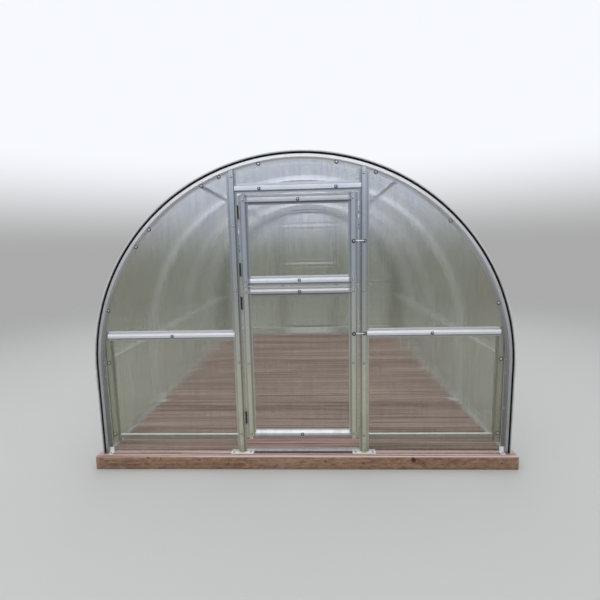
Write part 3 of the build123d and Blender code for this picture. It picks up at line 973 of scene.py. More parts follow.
@dataclass(frozen=True)
class TimberFinish(Finish):
    """Weathered softwood with its grain along one axis.

    A mark is a knot or dent that shows on its own, as x, y, z and radius.
    """

    grain: Along
    face: Colour
    dark: Colour
    bleached: Colour
    light: Optional[Colour] = None
    knots: float = 0.12
    knot_tone: float = 0.35
    rings: float = 1.0
    ring_share: float = 0.7
    board_pitch: float = 0.5
    first_board: float = 0.25
    board_contrast: float = 0.0
    board_shift: float = 7.0
    # Darker board edges: dirt, and painted shade standing in for the gaps between the boards.
    edge_dirt_and_gap_shade: float = 0.0
    sun_bleach: float = 0.6
    edge_wear: float = 0.85
    wear_width: float = 0.07
    splash: Colour = (0.10, 0.085, 0.06)
    splash_heights: Span = (-0.02, 0.06)
    splash_share: float = 0.5
    band_scale: float = 40.0
    band_share: float = 0.85
    patch_share: float = 0.35
    mottle: float = 0.0
    # Pale arrises: sun bleaching and a painted highlight on the top one, a painted highlight on the bottom
    # one.
    arris_bleach_and_highlight: Colour = (0.62, 0.50, 0.47)
    arris_bleach_and_highlight_share: float = 0.0
    marks: tuple[tuple[float, float, float, float], ...] = ()
    mark_fade: float = 1.7
    mark_share: float = 0.85
    relief: float = 0.0009

    @property
    def knot_colour(self) -> Colour:
        """Colour of knots and dents."""
        return tuple(channel * self.knot_tone for channel in self.dark)

    def varied(self, sketch: NodeSketch, colour: Socket, waves: Socket, share: float, dark_span: Span,
               light_span: Span) -> Socket:
        """Lighten the wood where a noise is high and darken it where it is low.

        Args:
            sketch: The material's nodes.
            colour: The wood's colour.
            waves: The noise.
            share: How strong both are.
            dark_span: Values of the noise between which the dark part ends.
            light_span: Values between which the light part starts.

        Returns:
            The varied colour.
        """
        light = sketch.ramp(waves, *light_span, 0.0, share)
        colour = sketch.mix(light, colour, self.light or self.bleached)
        return sketch.mix(sketch.ramp(waves, *dark_span, share, 0.0), colour, self.dark)

    def weathered(self, sketch: NodeSketch, colour: Socket, checks: Socket, wear: Socket, knot: Socket
                  ) -> Socket:
        """Bleach the faces and edges that sun and feet reach, and pale the arrises with a painted
        highlight.

        Args:
            sketch: The material's nodes.
            colour: The wood's colour.
            checks: Noise of the fine cracks along the grain.
            wear: Mask of the worn edges.
            knot: Mask of the knots.

        Returns:
            The weathered colour.
        """
        up = sketch.upward()
        sunned = sketch.math("MULTIPLY", sketch.ramp(up, 0.5, 0.9), sketch.ramp(checks, 0.42, 0.56))
        colour = sketch.mix(sketch.math("MULTIPLY", sunned, self.sun_bleach), colour, self.bleached)
        colour = sketch.mix(knot, colour, self.knot_colour)
        colour = sketch.mix(sketch.math("MULTIPLY", wear, self.edge_wear), colour, self.bleached)
        # Pale arrises: sun bleaching and a painted highlight on the top one, a painted highlight on the
        # bottom one.
        if self.arris_bleach_and_highlight_share:
            over = sketch.math(
                "MULTIPLY", sketch.ramp(up, 0.15, 0.40), sketch.ramp(up, 0.80, 0.97, 1.0, 0.0),
            )
            corner = sketch.math("MAXIMUM", over, sketch.ramp(up, -0.75, -0.35, 0.7, 0.0))
            ragged = sketch.ramp(checks, 0.25, 0.50, self.arris_bleach_and_highlight_share / 2, self.arris_bleach_and_highlight_share)
            colour = sketch.mix(sketch.math("MULTIPLY", corner, ragged), colour, self.arris_bleach_and_highlight)
        return colour

    def marked(self, sketch: NodeSketch, colour: Socket, place: Socket) -> Socket:
        """Put each mark on the wood, with a ragged edge.

        Args:
            sketch: The material's nodes.
            colour: The wood's colour.
            place: Position on the piece.

        Returns:
            The marked colour.
        """
        ragged = sketch.noise(place, (90.0, 90.0, 90.0), detail=2.0)
        for x, y, z, radius in self.marks:
            reach = sketch.vector("DISTANCE", place, (x, y, z))
            reach = sketch.math("ADD", reach, sketch.math("MULTIPLY", ragged, radius))
            mark = sketch.ramp(reach, radius, radius * self.mark_fade, self.mark_share, 0.0)
            colour = sketch.mix(mark, colour, self.knot_colour)
        return colour

    def draw(self, sketch: NodeSketch) -> None:
        """Build grain, board to board variation, dirt and painted gap shade at board edges, bleaching,
        worn edges, marks and splashed soil.

        Args:
            sketch: The material's nodes.
        """
        place = sketch.place()
        x, y, height = sketch.split(place)
        length, width = (x, y) if self.grain is Along.X else (y, x)
        count = sketch.math("DIVIDE", sketch.math("SUBTRACT", width, self.first_board), self.board_pitch)
        board = sketch.math("FLOOR", count)
        chance = sketch.add("TexWhiteNoise", {"W": board}, noise_dimensions="1D").outputs["Value"]
        local = sketch.joined(sketch.math("MULTIPLY_ADD", chance, self.board_shift, length), width, height)
        grain = sketch.effect(EFFECTS.grain, {
            "Vector": local, "Rings": self.rings, "Knots": self.knots,
        })
        wear = sketch.effect(EFFECTS.worn_edges, {"Vector": place, "Width": self.wear_width})["Wear"]
        soiled = self.soiled(sketch, place, self.splash_heights)
        fibres = sketch.ramp(grain["Fibre"], 0.35, 0.65, self.ring_share / 3, self.ring_share)
        colour = sketch.mix(sketch.math("MULTIPLY", grain["Ring"], fibres), self.face, self.dark)
        colour = sketch.mix(sketch.math("MULTIPLY", chance, self.board_contrast), colour, self.bleached)
        bands = sketch.noise(local, (0.55, self.band_scale, self.band_scale), detail=3.0, roughness=0.65)
        colour = self.varied(sketch, colour, bands, self.band_share, (0.34, 0.50), (0.50, 0.66))
        patches = sketch.noise(local, (1.3, 4.0, 4.0), detail=5.0, roughness=0.6)
        colour = sketch.mix(sketch.ramp(patches, 0.48, 0.75, 0.0, self.patch_share), colour, self.bleached)
        if self.mottle:
            blots = sketch.noise(local, (20.0, 48.0, 48.0), detail=3.0, roughness=0.65)
            colour = self.varied(sketch, colour, blots, self.mottle, (0.34, 0.48), (0.52, 0.68))
        # Darker board edges: dirt, and painted shade standing in for the gaps between the boards.
        edge = sketch.math("ABSOLUTE", sketch.math("SUBTRACT", sketch.math("FRACT", count), 0.5))
        colour = sketch.mix(sketch.ramp(edge, 0.44, 0.495, 0.0, self.edge_dirt_and_gap_shade), colour, self.dark)
        checks = sketch.noise(local, (0.5, 75.0, 75.0), detail=2.0, roughness=0.6)
        colour = self.weathered(sketch, colour, checks, wear, grain["Knot"])
        if self.marks:
            colour = self.marked(sketch, colour, place)
        colour = sketch.mix(sketch.math("MULTIPLY", soiled, self.splash_share), colour, self.splash)
        sketch.show(sketch.add("BsdfPrincipled", {
            "Base Color": colour,
            "Roughness": sketch.ramp(grain["Fibre"], 0.3, 0.7, 0.86, 0.66),
            "Specular IOR Level": 0.15,
            "Normal": sketch.bump(grain["Height"], self.relief, 0.8),
        }))


@dataclass(frozen=True)
class RubberFinish(Finish):
    """Black rubber that has picked up some dust."""

    black: Colour = (0.004, 0.004, 0.005)
    dusty: Colour = (0.020, 0.019, 0.018)

    def draw(self, sketch: NodeSketch) -> None:
        """Build dusty patches on a dull black face.

        Args:
            sketch: The material's nodes.
        """
        place = sketch.place()
        dust = sketch.ramp(sketch.noise(place, (30.0, 30.0, 30.0), detail=5.0, roughness=0.7), 0.5, 0.8)
        fine = sketch.noise(place, (400.0, 400.0, 400.0), detail=2.0)
        sketch.show(sketch.add("BsdfPrincipled", {
            "Base Color": sketch.mix(dust, self.black, self.dusty),
            "Roughness": sketch.ramp(dust, 0.0, 1.0, 0.60, 0.80),
            "Specular IOR Level": 0.12,
            "Normal": sketch.bump(fine, 0.0001),
        }))


@dataclass(frozen=True)
class TapeFinish(Finish):
    """Milky plastic tape that has gone a little grey."""

    milky: Colour = (0.66, 0.68, 0.69)
    grey: Colour = (0.50, 0.52, 0.52)

    def draw(self, sketch: NodeSketch) -> None:
        """Build cloudy wear and fine creases on a satin face.

        Args:
            sketch: The material's nodes.
        """
        place = sketch.place()
        cloud = sketch.ramp(sketch.noise(place, (9.0, 9.0, 9.0), detail=5.0, roughness=0.65), 0.40, 0.72)
        crease = sketch.noise(place, (160.0, 160.0, 160.0), detail=3.0)
        sketch.show(sketch.add("BsdfPrincipled", {
            "Base Color": sketch.mix(cloud, self.milky, self.grey),
            "Roughness": sketch.ramp(cloud, 0.0, 1.0, 0.30, 0.50),
            "Normal": sketch.bump(crease, 0.0002),
        }))


FRONT_FACE_Y = -2.075
FRONT_KNOTS = tuple(
    (x, FRONT_FACE_Y, z, radius) for x, z, radius in (
        (-1.140, 0.090, 0.008), (-1.045, 0.086, 0.006), (-0.756, 0.074, 0.007), (-0.544, 0.051, 0.006),
        (-0.014, 0.052, 0.006), (0.164, 0.063, 0.008), (0.434, 0.052, 0.006), (0.794, 0.072, 0.019),
        (0.790, 0.088, 0.010), (1.043, 0.077, 0.005), (1.087, 0.045, 0.006), (1.416, 0.049, 0.006),
    )
)


@dataclass(frozen=True)
class Palette:
    """Every finish on the house."""

    # Near-white: painted light on the rails.
    rail_steel: SteelFinish = SteelFinish(
        "rail_steel", Slot.STEEL, Roll.ACROSS, bright=(0.95, 0.97, 1.0), dull=(0.82, 0.84, 0.87),
        metal=0.50, inner_painted_light=PAINTED_LIGHT_ZINC, painted_fold_shade=PaintedFoldShade(rail_lines=(0.993,), lift=0.26),
    )
    # Bluish: a painted reflection of the sky.
    header_steel: SteelFinish = SteelFinish(
        "header_steel", Slot.STEEL, Roll.ACROSS, bright=(0.72, 0.765, 0.85), dull=(0.59, 0.635, 0.72),
        metal=0.40, inner_painted_light=PAINTED_LIGHT_ZINC,
        painted_fold_shade=PaintedFoldShade(rail_lines=(2.008,), low_side=0.70, high_side=0.95, belly=0.92, lift=0.04),
    )
    sill_steel: SteelFinish = SteelFinish(
        "trodden_steel", Slot.STEEL, Roll.ACROSS, bright=(0.74, 0.74, 0.73), dull=(0.60, 0.60, 0.58),
        metal=0.30, top=(0.25, 0.22, 0.20), low_painted_tint=(0.97, 0.97, 0.97),
    )
    # The pale top of the inner rails is a painted highlight.
    inner_rail_steel: SteelFinish = SteelFinish(
        "inner_rail_steel", Slot.STEEL, Roll.ACROSS, bright=(0.50, 0.48, 0.45), dull=(0.38, 0.36, 0.33),
        metal=0.30, inner_painted_light=PAINTED_LIGHT_ZINC, top=(0.95, 0.94, 0.90), low_painted_tint=WHITE,
    )
    post_steel: SteelFinish = SteelFinish(
        "post_steel", Slot.STEEL, Roll.UPRIGHT, bright=(0.82, 0.835, 0.84), dull=(0.62, 0.63, 0.62),
        low_painted_tint=(0.86, 0.85, 0.69), high_painted_tint=(0.645, 0.70, 0.80),
        painted_fold_shade=PaintedFoldShade(upright_line=0.450, inner_side=0.82, outer_side=0.90, corner=0.80),
    )
    stud_steel: SteelFinish = SteelFinish(
        "stud_steel", Slot.STEEL, Roll.UPRIGHT, metal=0.60, low_painted_tint=(0.96, 0.90, 0.72),
        painted_fold_shade=PaintedFoldShade(upright_line=1.410, inner_side=0.82, outer_side=0.90, corner=0.80),
    )
    # Pale: painted light on the ties.
    tie_steel: SteelFinish = SteelFinish(
        "tie_steel", Slot.STEEL, Roll.LENGTHWISE, bright=(0.88, 0.90, 0.92), dull=(0.76, 0.775, 0.78),
        metal=0.30,
    )
    # Dark: painted shade on the shoulder ties.
    shoulder_steel: SteelFinish = SteelFinish(
        "shoulder_tie_steel", Slot.STEEL, Roll.LENGTHWISE, bright=(0.46, 0.48, 0.52),
        dull=(0.36, 0.38, 0.41), metal=0.30,
    )
    # Near-white with darker legs: painted light and shade.
    arch_steel: SteelFinish = SteelFinish(
        "arch_steel", Slot.STEEL, Roll.ROUND, bright=(0.94, 0.96, 1.0), dull=(0.80, 0.815, 0.84),
        low_painted_tint=(0.54, 0.54, 0.52), flange_painted_shade=0.56,
    )
    # Near-white: painted light on the hoops.
    hoop_steel: SteelFinish = SteelFinish(
        "hoop_steel", Slot.STEEL, Roll.ROUND, bright=(0.96, 0.97, 0.99), dull=(0.88, 0.89, 0.91),
        metal=0.20, low_painted_tint=(0.92, 0.92, 0.92),
    )
    lower_leaf_steel: SteelFinish = SteelFinish(
        "lower_leaf_steel", Slot.STEEL, Roll.LEAF, bright=WHITE, dull=(0.88, 0.89, 0.90),
        metal=0.40, inner_painted_light=PAINTED_LIGHT_ZINC, low_painted_tint=(1.0, 0.99, 0.80), high_painted_tint=(0.84, 0.92, 1.0),
        painted_fold_shade=PaintedFoldShade(
            rail_lines=(0.252, 1.300), rail_painted_shades=(1.0, 0.70), rail_painted_tint_share=0.0,
            upright_line=0.375, upright_web_painted_shade=0.52, inner_side=0.90, outer_side=1.0,
            low_side=0.36, belly=0.52, lift=0.36,
        ),
    )
    upper_leaf_steel: SteelFinish = SteelFinish(
        "upper_leaf_steel", Slot.STEEL, Roll.LEAF, bright=(0.90, 0.92, 0.96), dull=(0.70, 0.72, 0.745),
        metal=0.45, inner_painted_light=PAINTED_LIGHT_ZINC, low_painted_tint=(1.0, 1.0, 0.93), high_painted_tint=(0.81, 0.89, 0.99),
        painted_fold_shade=PaintedFoldShade(
            rail_lines=(1.375, 1.930), rail_painted_shades=(0.97, 0.70), rail_painted_tint_share=0.4,
            upright_line=0.375, upright_web_painted_shade=0.60, inner_side=0.90, outer_side=1.0,
        ),
    )
    # Near-white: painted light on the feet and plates.
    plate_zinc: SteelFinish = SteelFinish(
        "bright_plate_zinc", Slot.STEEL, Roll.ACROSS, bright=(0.96, 0.98, 1.0), dull=(0.90, 0.92, 0.95),
        metal=0.20, brushed=0.0, low_painted_tint=WHITE,
    )
    zinc: SteelFinish = SteelFinish(
        "zinc_plating", Slot.FITTINGS, Roll.ACROSS, bright=(0.78, 0.79, 0.81), dull=(0.50, 0.50, 0.49),
        roughness=0.22, brushed=0.0, crystals=420.0, cloud=0.7, broad_lines=0.1,
    )
    # Near-white: a painted highlight on the hook wire.
    hook_zinc: SteelFinish = SteelFinish(
        "bright_hook_zinc", Slot.FITTINGS, Roll.ACROSS, bright=(0.96, 0.97, 1.0), dull=(0.84, 0.85, 0.87),
        metal=0.40, roughness=0.25, brushed=0.0, crystals=420.0, low_painted_tint=WHITE,
    )
    hinge_zinc: SteelFinish = SteelFinish(
        "hinge_zinc_dark_at_pin", Slot.FITTINGS, Roll.UPRIGHT, bright=(0.66, 0.67, 0.69), dull=(0.42, 0.42, 0.42),
        crystals=420.0, cloud=0.7, dark_at_pin=True,
    )
    # Near-black latch studs: painted shade round the hook's ends.
    shadow_dark_zinc: SteelFinish = SteelFinish(
        "shadow_dark_zinc", Slot.FITTINGS, Roll.ACROSS, bright=(0.11, 0.11, 0.115), dull=(0.04, 0.04, 0.04),
        crystals=420.0, cloud=0.7, broad_lines=0.1,
    )
    end_sheet: SheetFinish = SheetFinish("end_wall_sheet", Slot.SHEET, Roll.UPRIGHT)
    roof_sheet: SheetFinish = SheetFinish(
        "roof_sheet", Slot.SHEET, Roll.ROUND, flutes=Along.Y, fine_lines=0.16,
    )
    edge_tape: TapeFinish = TapeFinish("milky_edge_tape", Slot.SHEET)
    seal: RubberFinish = RubberFinish("black_rubber", Slot.RUBBER)
    boards: TimberFinish = TimberFinish(
        "grooved_boards", Slot.BOARDS, Along.X,
        face=(0.325, 0.200, 0.170), dark=(0.120, 0.070, 0.060), bleached=(0.590, 0.425, 0.385),
        knots=0.04, rings=0.8, board_pitch=BOARD_PITCH, first_board=FIRST_BOARD_GAP, board_contrast=0.60,
        edge_dirt_and_gap_shade=0.9, sun_bleach=0.0, edge_wear=0.0, splash_heights=(-0.02, 0.0),
    )
    beams: TimberFinish = TimberFinish(
        "edge_beam_timber", Slot.TIMBER, Along.X,
        face=(0.285, 0.172, 0.105), dark=(0.100, 0.050, 0.031), bleached=(0.660, 0.510, 0.505),
        light=(0.420, 0.260, 0.160), knots=0.07, rings=1.6, ring_share=0.45, sun_bleach=0.95,
        band_scale=95.0, band_share=0.50, patch_share=0.12, mottle=0.55, edge_wear=0.15,
        arris_bleach_and_highlight_share=0.25, marks=FRONT_KNOTS,
    )
    side_timber: TimberFinish = replace(beams, name="side_beam_timber", grain=Along.Y, marks=())


PALETTE = Palette()


def linked(name: str, data: bpy.types.ID) -> bpy.types.Object:
    """Make an object and link it in the scene.

    Args:
        name: Its name.
        data: Its mesh, lamp or camera.

    Returns:
        The new object.
    """
    made = bpy.data.objects.new(name, data)
    bpy.context.scene.collection.objects.link(made)
    return made


def dress(finish: Finish, *nodes: str) -> None:
    """Give CAD nodes their finish.

    Args:
        finish: The finish that goes in each of their material slots.
        nodes: The nodes' names.
    """
    for node in nodes:
        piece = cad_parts[node]
        if not piece.material_slots:
            piece.data.materials.append(None)
        for slot in piece.material_slots:
            slot.material = finish.material()
        LOG.info("%s: %s", node, finish.name)


class MeshSketch:
    """Collects the points and faces of one piece and makes its object.

    What is turned with more than sharp_sides sides is shaded smooth.
    """

    round_sides: int = 16
    sharp_sides: int = 8
    leg_steps: int = 2

    def __init__(self) -> None:
        """Start with nothing."""
        self.points: list[Vector] = []
        self.faces: list[tuple[int, ...]] = []
        self.tones: list[int] = []
        self.soft: list[bool] = []

    def take(self, points: Iterable[Vector], faces: Iterable[Sequence[int]], tone: int = 0,
             soft: bool = False) -> None:
        """Add points and the faces between them.

        Args:
            points: New points.
            faces: Faces by the new points' own numbers.
            tone: Number of the faces' material.
            soft: Whether the faces are shaded smooth.
        """
        base = len(self.points)
        self.points.extend(points)
        for face in faces:
            self.faces.append(tuple(base + index for index in face))
            self.tones.append(tone)
            self.soft.append(soft)

    def turned(self, profile: Profile, sides: int, place: Matrix, tone: int = 0) -> None:
        """Add a profile of (radius, height) turned about the place's Z axis.

        Args:
            profile: Radius and height of each ring, from the bottom up. Radius 0 closes it.
            sides: How many sides it is turned with.
            place: Where the axis stands.
            tone: Number of its material.
        """
        points: list[Vector] = []
        rings: list[list[int]] = []
        for radius, height in profile:
            count = 1 if radius == 0.0 else sides
            rings.append(list(range(len(points), len(points) + count)))
            for index in range(count):
                angle = 2.0 * math.pi * index / sides
                local = Vector((radius * math.cos(angle), radius * math.sin(angle), height))
                points.append(place @ local)
        faces: list[tuple[int, ...]] = []
        for lower, upper in zip(rings, rings[1:]):
            for index in range(sides):
                follow = (index + 1) % sides
                if len(lower) == 1:
                    faces.append((upper[follow], upper[index], lower[0]))
                elif len(upper) == 1:
                    faces.append((lower[index], lower[follow], upper[0]))
                else:
                    faces.append((lower[index], lower[follow], upper[follow], upper[index]))
        self.take(points, faces, tone, soft=sides > self.sharp_sides)

    def swept(self, outline: Sequence[Span], start: float, end: float, turn: Matrix = NO_TURN) -> None:
        """Add a closed (y, z) outline swept along X, with both ends closed.

        Args:
            outline: Corners, counter-clockwise seen from +X.
            start: Lowest X.
            end: Highest X.
            turn: The turn that takes it to its own end.
        """
        count = len(outline)
        points = [turn @ Vector((x, y, z)) for x in (start, end) for y, z in outline]
        faces = [tuple(reversed(range(count))), tuple(range(count, 2 * count))]
        for index in range(count):
            follow = (index + 1) % count
            faces.append((index, follow, count + follow, count + index))
        self.take(points, faces)

    def arched(self, section: Profile, foot: float, steps: int, turn: Matrix) -> None:
        """Add a section bent over the arch and down both its legs, with both ends closed.

        Args:
            section: Its corners as (y, radius), as at the front.
            foot: Height at which the legs end.
            steps: How many steps the arch is bent in.
            turn: The turn that takes it to its own end.
        """
        count = len(section)
        points: list[Vector] = []
        for step in range(-self.leg_steps, steps + self.leg_steps + 1):
            angle = math.pi * min(max(step, 0), steps) / steps
            drop = (ARCH_CENTRE - foot) * max(-step, step - steps, 0) / self.leg_steps
            for y, radius in section:
                height = ARCH_CENTRE + radius * math.sin(angle) - drop
                points.append(turn @ Vector((radius * math.cos(angle), y, height)))
        last = len(points) - count
        faces: list[tuple[int, ...]] = []
        for base in range(0, last, count):
            for index in range(count):
                follow = (index + 1) % count
                faces.append((base + index, base + follow, base + count + follow, base + count + index))
        faces += [tuple(range(count)), tuple(range(last, last + count))]
        self.take(points, faces)

    def fixing(self, fixing: Fixing, turn: Matrix = NO_TURN) -> None:
        """Add one fastener's head.

        Args:
            fixing: Its place, as at the front end, and its kind.
            turn: The turn that takes it to its own end.
        """
        stand = Vector(fixing.facing).to_track_quat("Z", "Y").to_matrix().to_4x4()
        place = turn @ Matrix.Translation(fixing.point) @ stand
        shape = fixing.head.value
        if shape.pad:
            self.turned(shape.pad, self.round_sides, place, tone=1)
        self.turned(shape.washer, self.round_sides, place)
        self.turned(shape.cap, shape.cap_sides, place)

    def piece(self, name: str, finishes: Sequence[Finish], body: str = HOUSE) -> bpy.types.Object:
        """Make the piece and let it ride on a body.

        Args:
            name: The piece's name.
            finishes: Its materials, by tone.
            body: The body that carries it.

        Returns:
            The new piece.
        """
        mesh = bpy.data.meshes.new(name)
        mesh.from_pydata(self.points, [], self.faces)
        mesh.polygons.foreach_set("material_index", self.tones)
        mesh.polygons.foreach_set("use_smooth", self.soft)
        shape = bmesh.new()
        shape.from_mesh(mesh)
        bmesh.ops.recalc_face_normals(shape, faces=shape.faces)
        shape.to_mesh(mesh)
        shape.free()
        for finish in finishes:
            mesh.materials.append(finish.material())
        piece = linked(name, mesh)
        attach(piece, body)
        LOG.info("%s: %d faces on %s", name, len(mesh.polygons), body)
        return piece


@dataclass
class Deck:
    """The boarded deck that the house stands on."""

    board_pitch: float = BOARD_PITCH
    board_gap: float = 0.005
    first_gap: float = FIRST_BOARD_GAP
    beam_gap: float = 0.006
    groove_pitch: float = 0.0105
    groove_width: float = 0.0035
    groove_depth: float = 0.0016
    board_edge: float = 0.006
    round_edge: float = 0.0015
    joist_spacing: float = 0.6
    screw_shares: Span = (0.27, 0.73)
    beam_width: float = 0.048
    beam_bevel: float = 0.004
    bevel_steps: int = 3
    beam_step: float = 0.03
    beam_wear: float = 0.0016
    dent_scale: float = 14.0

    def build(self) -> None:
        """Lay the boards, drive their screws and dress the timber under them."""
        self.boards()
        self.board_screws()
        self.beams("end_beams", Along.X, PALETTE.beams)
        self.beams("side_beams", Along.Y, PALETTE.side_timber)
        dress(PALETTE.side_timber, "deck_joists")

    def spans(self) -> list[Span]:
        """Share the floor's length out among the boards.

        Returns:
            Front and back edge of each board, from the front.
        """
        low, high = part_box("deck_floor")
        spans = []
        start = low.y + self.beam_gap
        gap = self.first_gap
        last = high.y - self.beam_gap
        while start < last:
            end = min(gap - self.board_gap / 2, last)
            spans.append((start, end))
            start = gap + self.board_gap / 2
            gap += self.board_pitch
        return spans

    def board_outline(self, front: float, back: float, bottom: float, top: float) -> list[Span]:
        """Cross-section of one grooved board.

        Args:
            front: Its front edge.
            back: Its back edge.
            bottom: Its underside.
            top: The top of its ridges.

        Returns:
            Its (y, z) corners, counter-clockwise seen from +X.
        """
        edge = self.round_edge
        grooves = int((back - front - 2 * self.board_edge) / self.groove_pitch)
        first = (front + back - grooves * self.groove_pitch) / 2 + self.groove_pitch / 2
        outline = [(front, bottom), (back, bottom), (back, top - edge), (back - edge, top)]
        for index in reversed(range(grooves)):
            middle = first + index * self.groove_pitch
            outline += [
                (middle + self.groove_width / 2, top),
                (middle + self.groove_width / 4, top - self.groove_depth),
                (middle - self.groove_width / 4, top - self.groove_depth),
                (middle - self.groove_width / 2, top),
            ]
        return outline + [(front + edge, top), (front, top - edge)]

    def boards(self) -> None:
        """Lay the grooved boards from side to side."""
        low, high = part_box("deck_floor")
        strip, *boards = self.spans()
        for name, spans, finish in (
            ("deck_boarding", boards, PALETTE.boards), ("front_deck_strip", [strip], PALETTE.beams),
        ):
            sketch = MeshSketch()
            for front, back in spans:
                sketch.swept(self.board_outline(front, back, low.z, high.z), low.x, high.x)
            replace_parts(sketch.piece(name, [finish]), "deck_floor")

    def board_screws(self) -> None:
        """Drive two screws through each board into each joist."""
        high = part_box("deck_floor")[1]
        sketch = MeshSketch()
        joists = int(high.x / self.joist_spacing)
        for front, back in self.spans():
            if back - front < self.board_pitch / 2:
                continue
            for index in range(-joists, joists + 1):
                for share in self.screw_shares:
                    point = (index * self.joist_spacing, front + share * (back - front), high.z)
                    sketch.fixing(Fixing(point, UPWARD, Head.BOARD_SCREW))
        sketch.piece("deck_screws", [PALETTE.zinc])

    def beams(self, node: str, along: Along, finish: Finish) -> None:
        """Build a pair of edge beams with rounded and dented edges.

        Args:
            node: The CAD node that they replace, which gives their size.
            along: The way they run.
            finish: Their timber.
        """
        low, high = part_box(node)
        across = 1 if along is Along.X else 0
        sketch = MeshSketch()
        for side in (-1, 1):
            start, end = Vector(low), Vector(high)
            outer = side * high[across]
            inner = side * (high[across] - self.beam_width)
            start[across], end[across] = sorted((outer, inner))
            self.beam(sketch, start, end, 1 - across)
        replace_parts(sketch.piece(f"worn_{node}", [finish]), node)

    def beam(self, sketch: MeshSketch, low: Vector, high: Vector, axis: int) -> None:
        """Add one beam, cut into short lengths and worn inwards, with its points in order of place.

        Args:
            sketch: The piece that takes it.
            low: Its lowest corner.
            high: Its highest corner.
            axis: The number of the axis that it runs along.
        """
        middle = (low + high) / 2
        size = high - low
        shape = bmesh.new()
        bmesh.ops.create_cube(shape, size=1.0)
        bmesh.ops.scale(shape, vec=size, verts=shape.verts)
        bmesh.ops.translate(shape, vec=middle, verts=shape.verts)
        bmesh.ops.bevel(
            shape, geom=shape.edges[:], offset=self.beam_bevel, segments=self.bevel_steps,
            affect="EDGES", profile=0.5,
        )
        direction = Vector((0.0, 0.0, 0.0))
        direction[axis] = 1.0
        cuts = int(size[axis] / self.beam_step)
        for index in range(1, cuts):
            cut = low.copy()
            cut[axis] += size[axis] * index / cuts
            geometry = [*shape.verts, *shape.edges, *shape.faces]
            bmesh.ops.bisect_plane(shape, geom=geometry, plane_co=cut, plane_no=direction)
        for corner in shape.verts:
            inward = middle - corner.co
            inward[axis] = 0.0
            depth = 0.5 + 0.5 * noise.noise(corner.co * self.dent_scale)
            corner.co += inward.normalized() * self.beam_wear * depth
        corners = sorted(shape.verts, key=lambda corner: corner.co[:])
        ranks = {corner: rank for rank, corner in enumerate(corners)}
        faces = sorted([ranks[corner] for corner in face.verts] for face in shape.faces)
        sketch.take([corner.co.copy() for corner in corners], faces, soft=True)
        shape.free()


@dataclass
class Shell:
    """Hoops, ties, runners and the two roof sheets that bend over them.

    Bolts are given as lines across the house and how far each bolt stands from its line.
    """

    roof_radius: float = 1.5
    sheet: float = 0.006
    lap_rise: float = 0.0063
    tape_skin: float = 0.0003
    tape_fold: float = 0.0145
    tape_steps: int = 120
    fixing_angles: tuple[float, ...] = (9.0, 33.0, 57.0, 80.0, 100.0, 123.0, 147.0, 171.0)
    leg_heights: Span = (0.22, 0.52)
    end_line: float = 1.975
    hoop_lines: tuple[float, ...] = (-1.0, 0.0, 1.0)
    post_lines: Span = (-0.45, 0.45)
    post_bolts: Span = (-0.062, 0.062)
    post_bolt_y: float = -2.012
    arch_bolts: Span = (-1.443, 1.443)
    arch_bolt_y: float = -2.024
    hoop_line: float = 1.436
    hoop_bolts: Span = (-0.02, 0.02)

    def build(self) -> None:
        """Dress the steel and the sheets, and fix the sheets down."""
        dress(PALETTE.hoop_steel, "hoop_1", "hoop_2", "hoop_3")
        dress(PALETTE.tie_steel, "side_ties", "base_runners")
        dress(PALETTE.shoulder_steel, "shoulder_ties")
        dress(PALETTE.plate_zinc, "foot_plates", "hoop_feet")
        dress(PALETTE.roof_sheet, "roof_sheet_front", "roof_sheet_rear")
        self.tape()
        self.roof_fixings()
        self.foot_fixings()

    def tape(self) -> None:
        """Fold a tape over the front edge of one roof sheet and the rear edge of the other."""
        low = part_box("roof_sheet_front")[0]
        back = low.y + self.tape_fold
        outer = self.roof_radius
        inner = outer - self.sheet
        skin = self.tape_skin
        section = (
            (low.y - skin, inner - skin), (low.y - skin, outer + skin), (back, outer + skin), (back, outer),
            (low.y, outer), (low.y, inner), (back, inner), (back, inner - skin),
        )
        for end in End:
            sketch = MeshSketch()
            sketch.arched(section, low.z, self.tape_steps, end.turn())
            sketch.piece(f"{end.value}_edge_tape", [PALETTE.edge_tape])

    def roof_fixings(self) -> None:
        """Screw the roof sheets to each hoop and end arch."""
        sketch = MeshSketch()
        for y in (-self.end_line, *self.hoop_lines, self.end_line):
            radius = self.roof_radius + (self.lap_rise if y == 0.0 else 0.0)
            for degrees in self.fixing_angles:
                angle = math.radians(degrees)
                out = (math.cos(angle), 0.0, math.sin(angle))
                point = (radius * out[0], y, ARCH_CENTRE + radius * out[2])
                sketch.fixing(Fixing(point, out, Head.SHEET_SCREW))
            for height in self.leg_heights:
                for side in (-1.0, 1.0):
                    sketch.fixing(Fixing((side * radius, y, height), (side, 0.0, 0.0), Head.SHEET_SCREW))
        sketch.piece("roof_screws", [PALETTE.zinc, PALETTE.seal])

    def foot_fixings(self) -> None:
        """Screw the foot plates and brackets to the deck."""
        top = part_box("foot_plates")[1].z
        ends = [(post + reach, self.post_bolt_y) for post in self.post_lines for reach in self.post_bolts]
        ends += [(side, self.arch_bolt_y) for side in self.arch_bolts]
        sketch = MeshSketch()
        for x, y in ends:
            for end in End:
                sketch.fixing(Fixing((x, y, top), UPWARD, Head.FOOT_BOLT), end.turn())
        for y in self.hoop_lines:
            for x in (-self.hoop_line, self.hoop_line):
                for reach in self.hoop_bolts:
                    sketch.fixing(Fixing((x, y + reach, top), UPWARD, Head.FOOT_BOLT))
        sketch.piece("foot_bolts", [PALETTE.zinc])


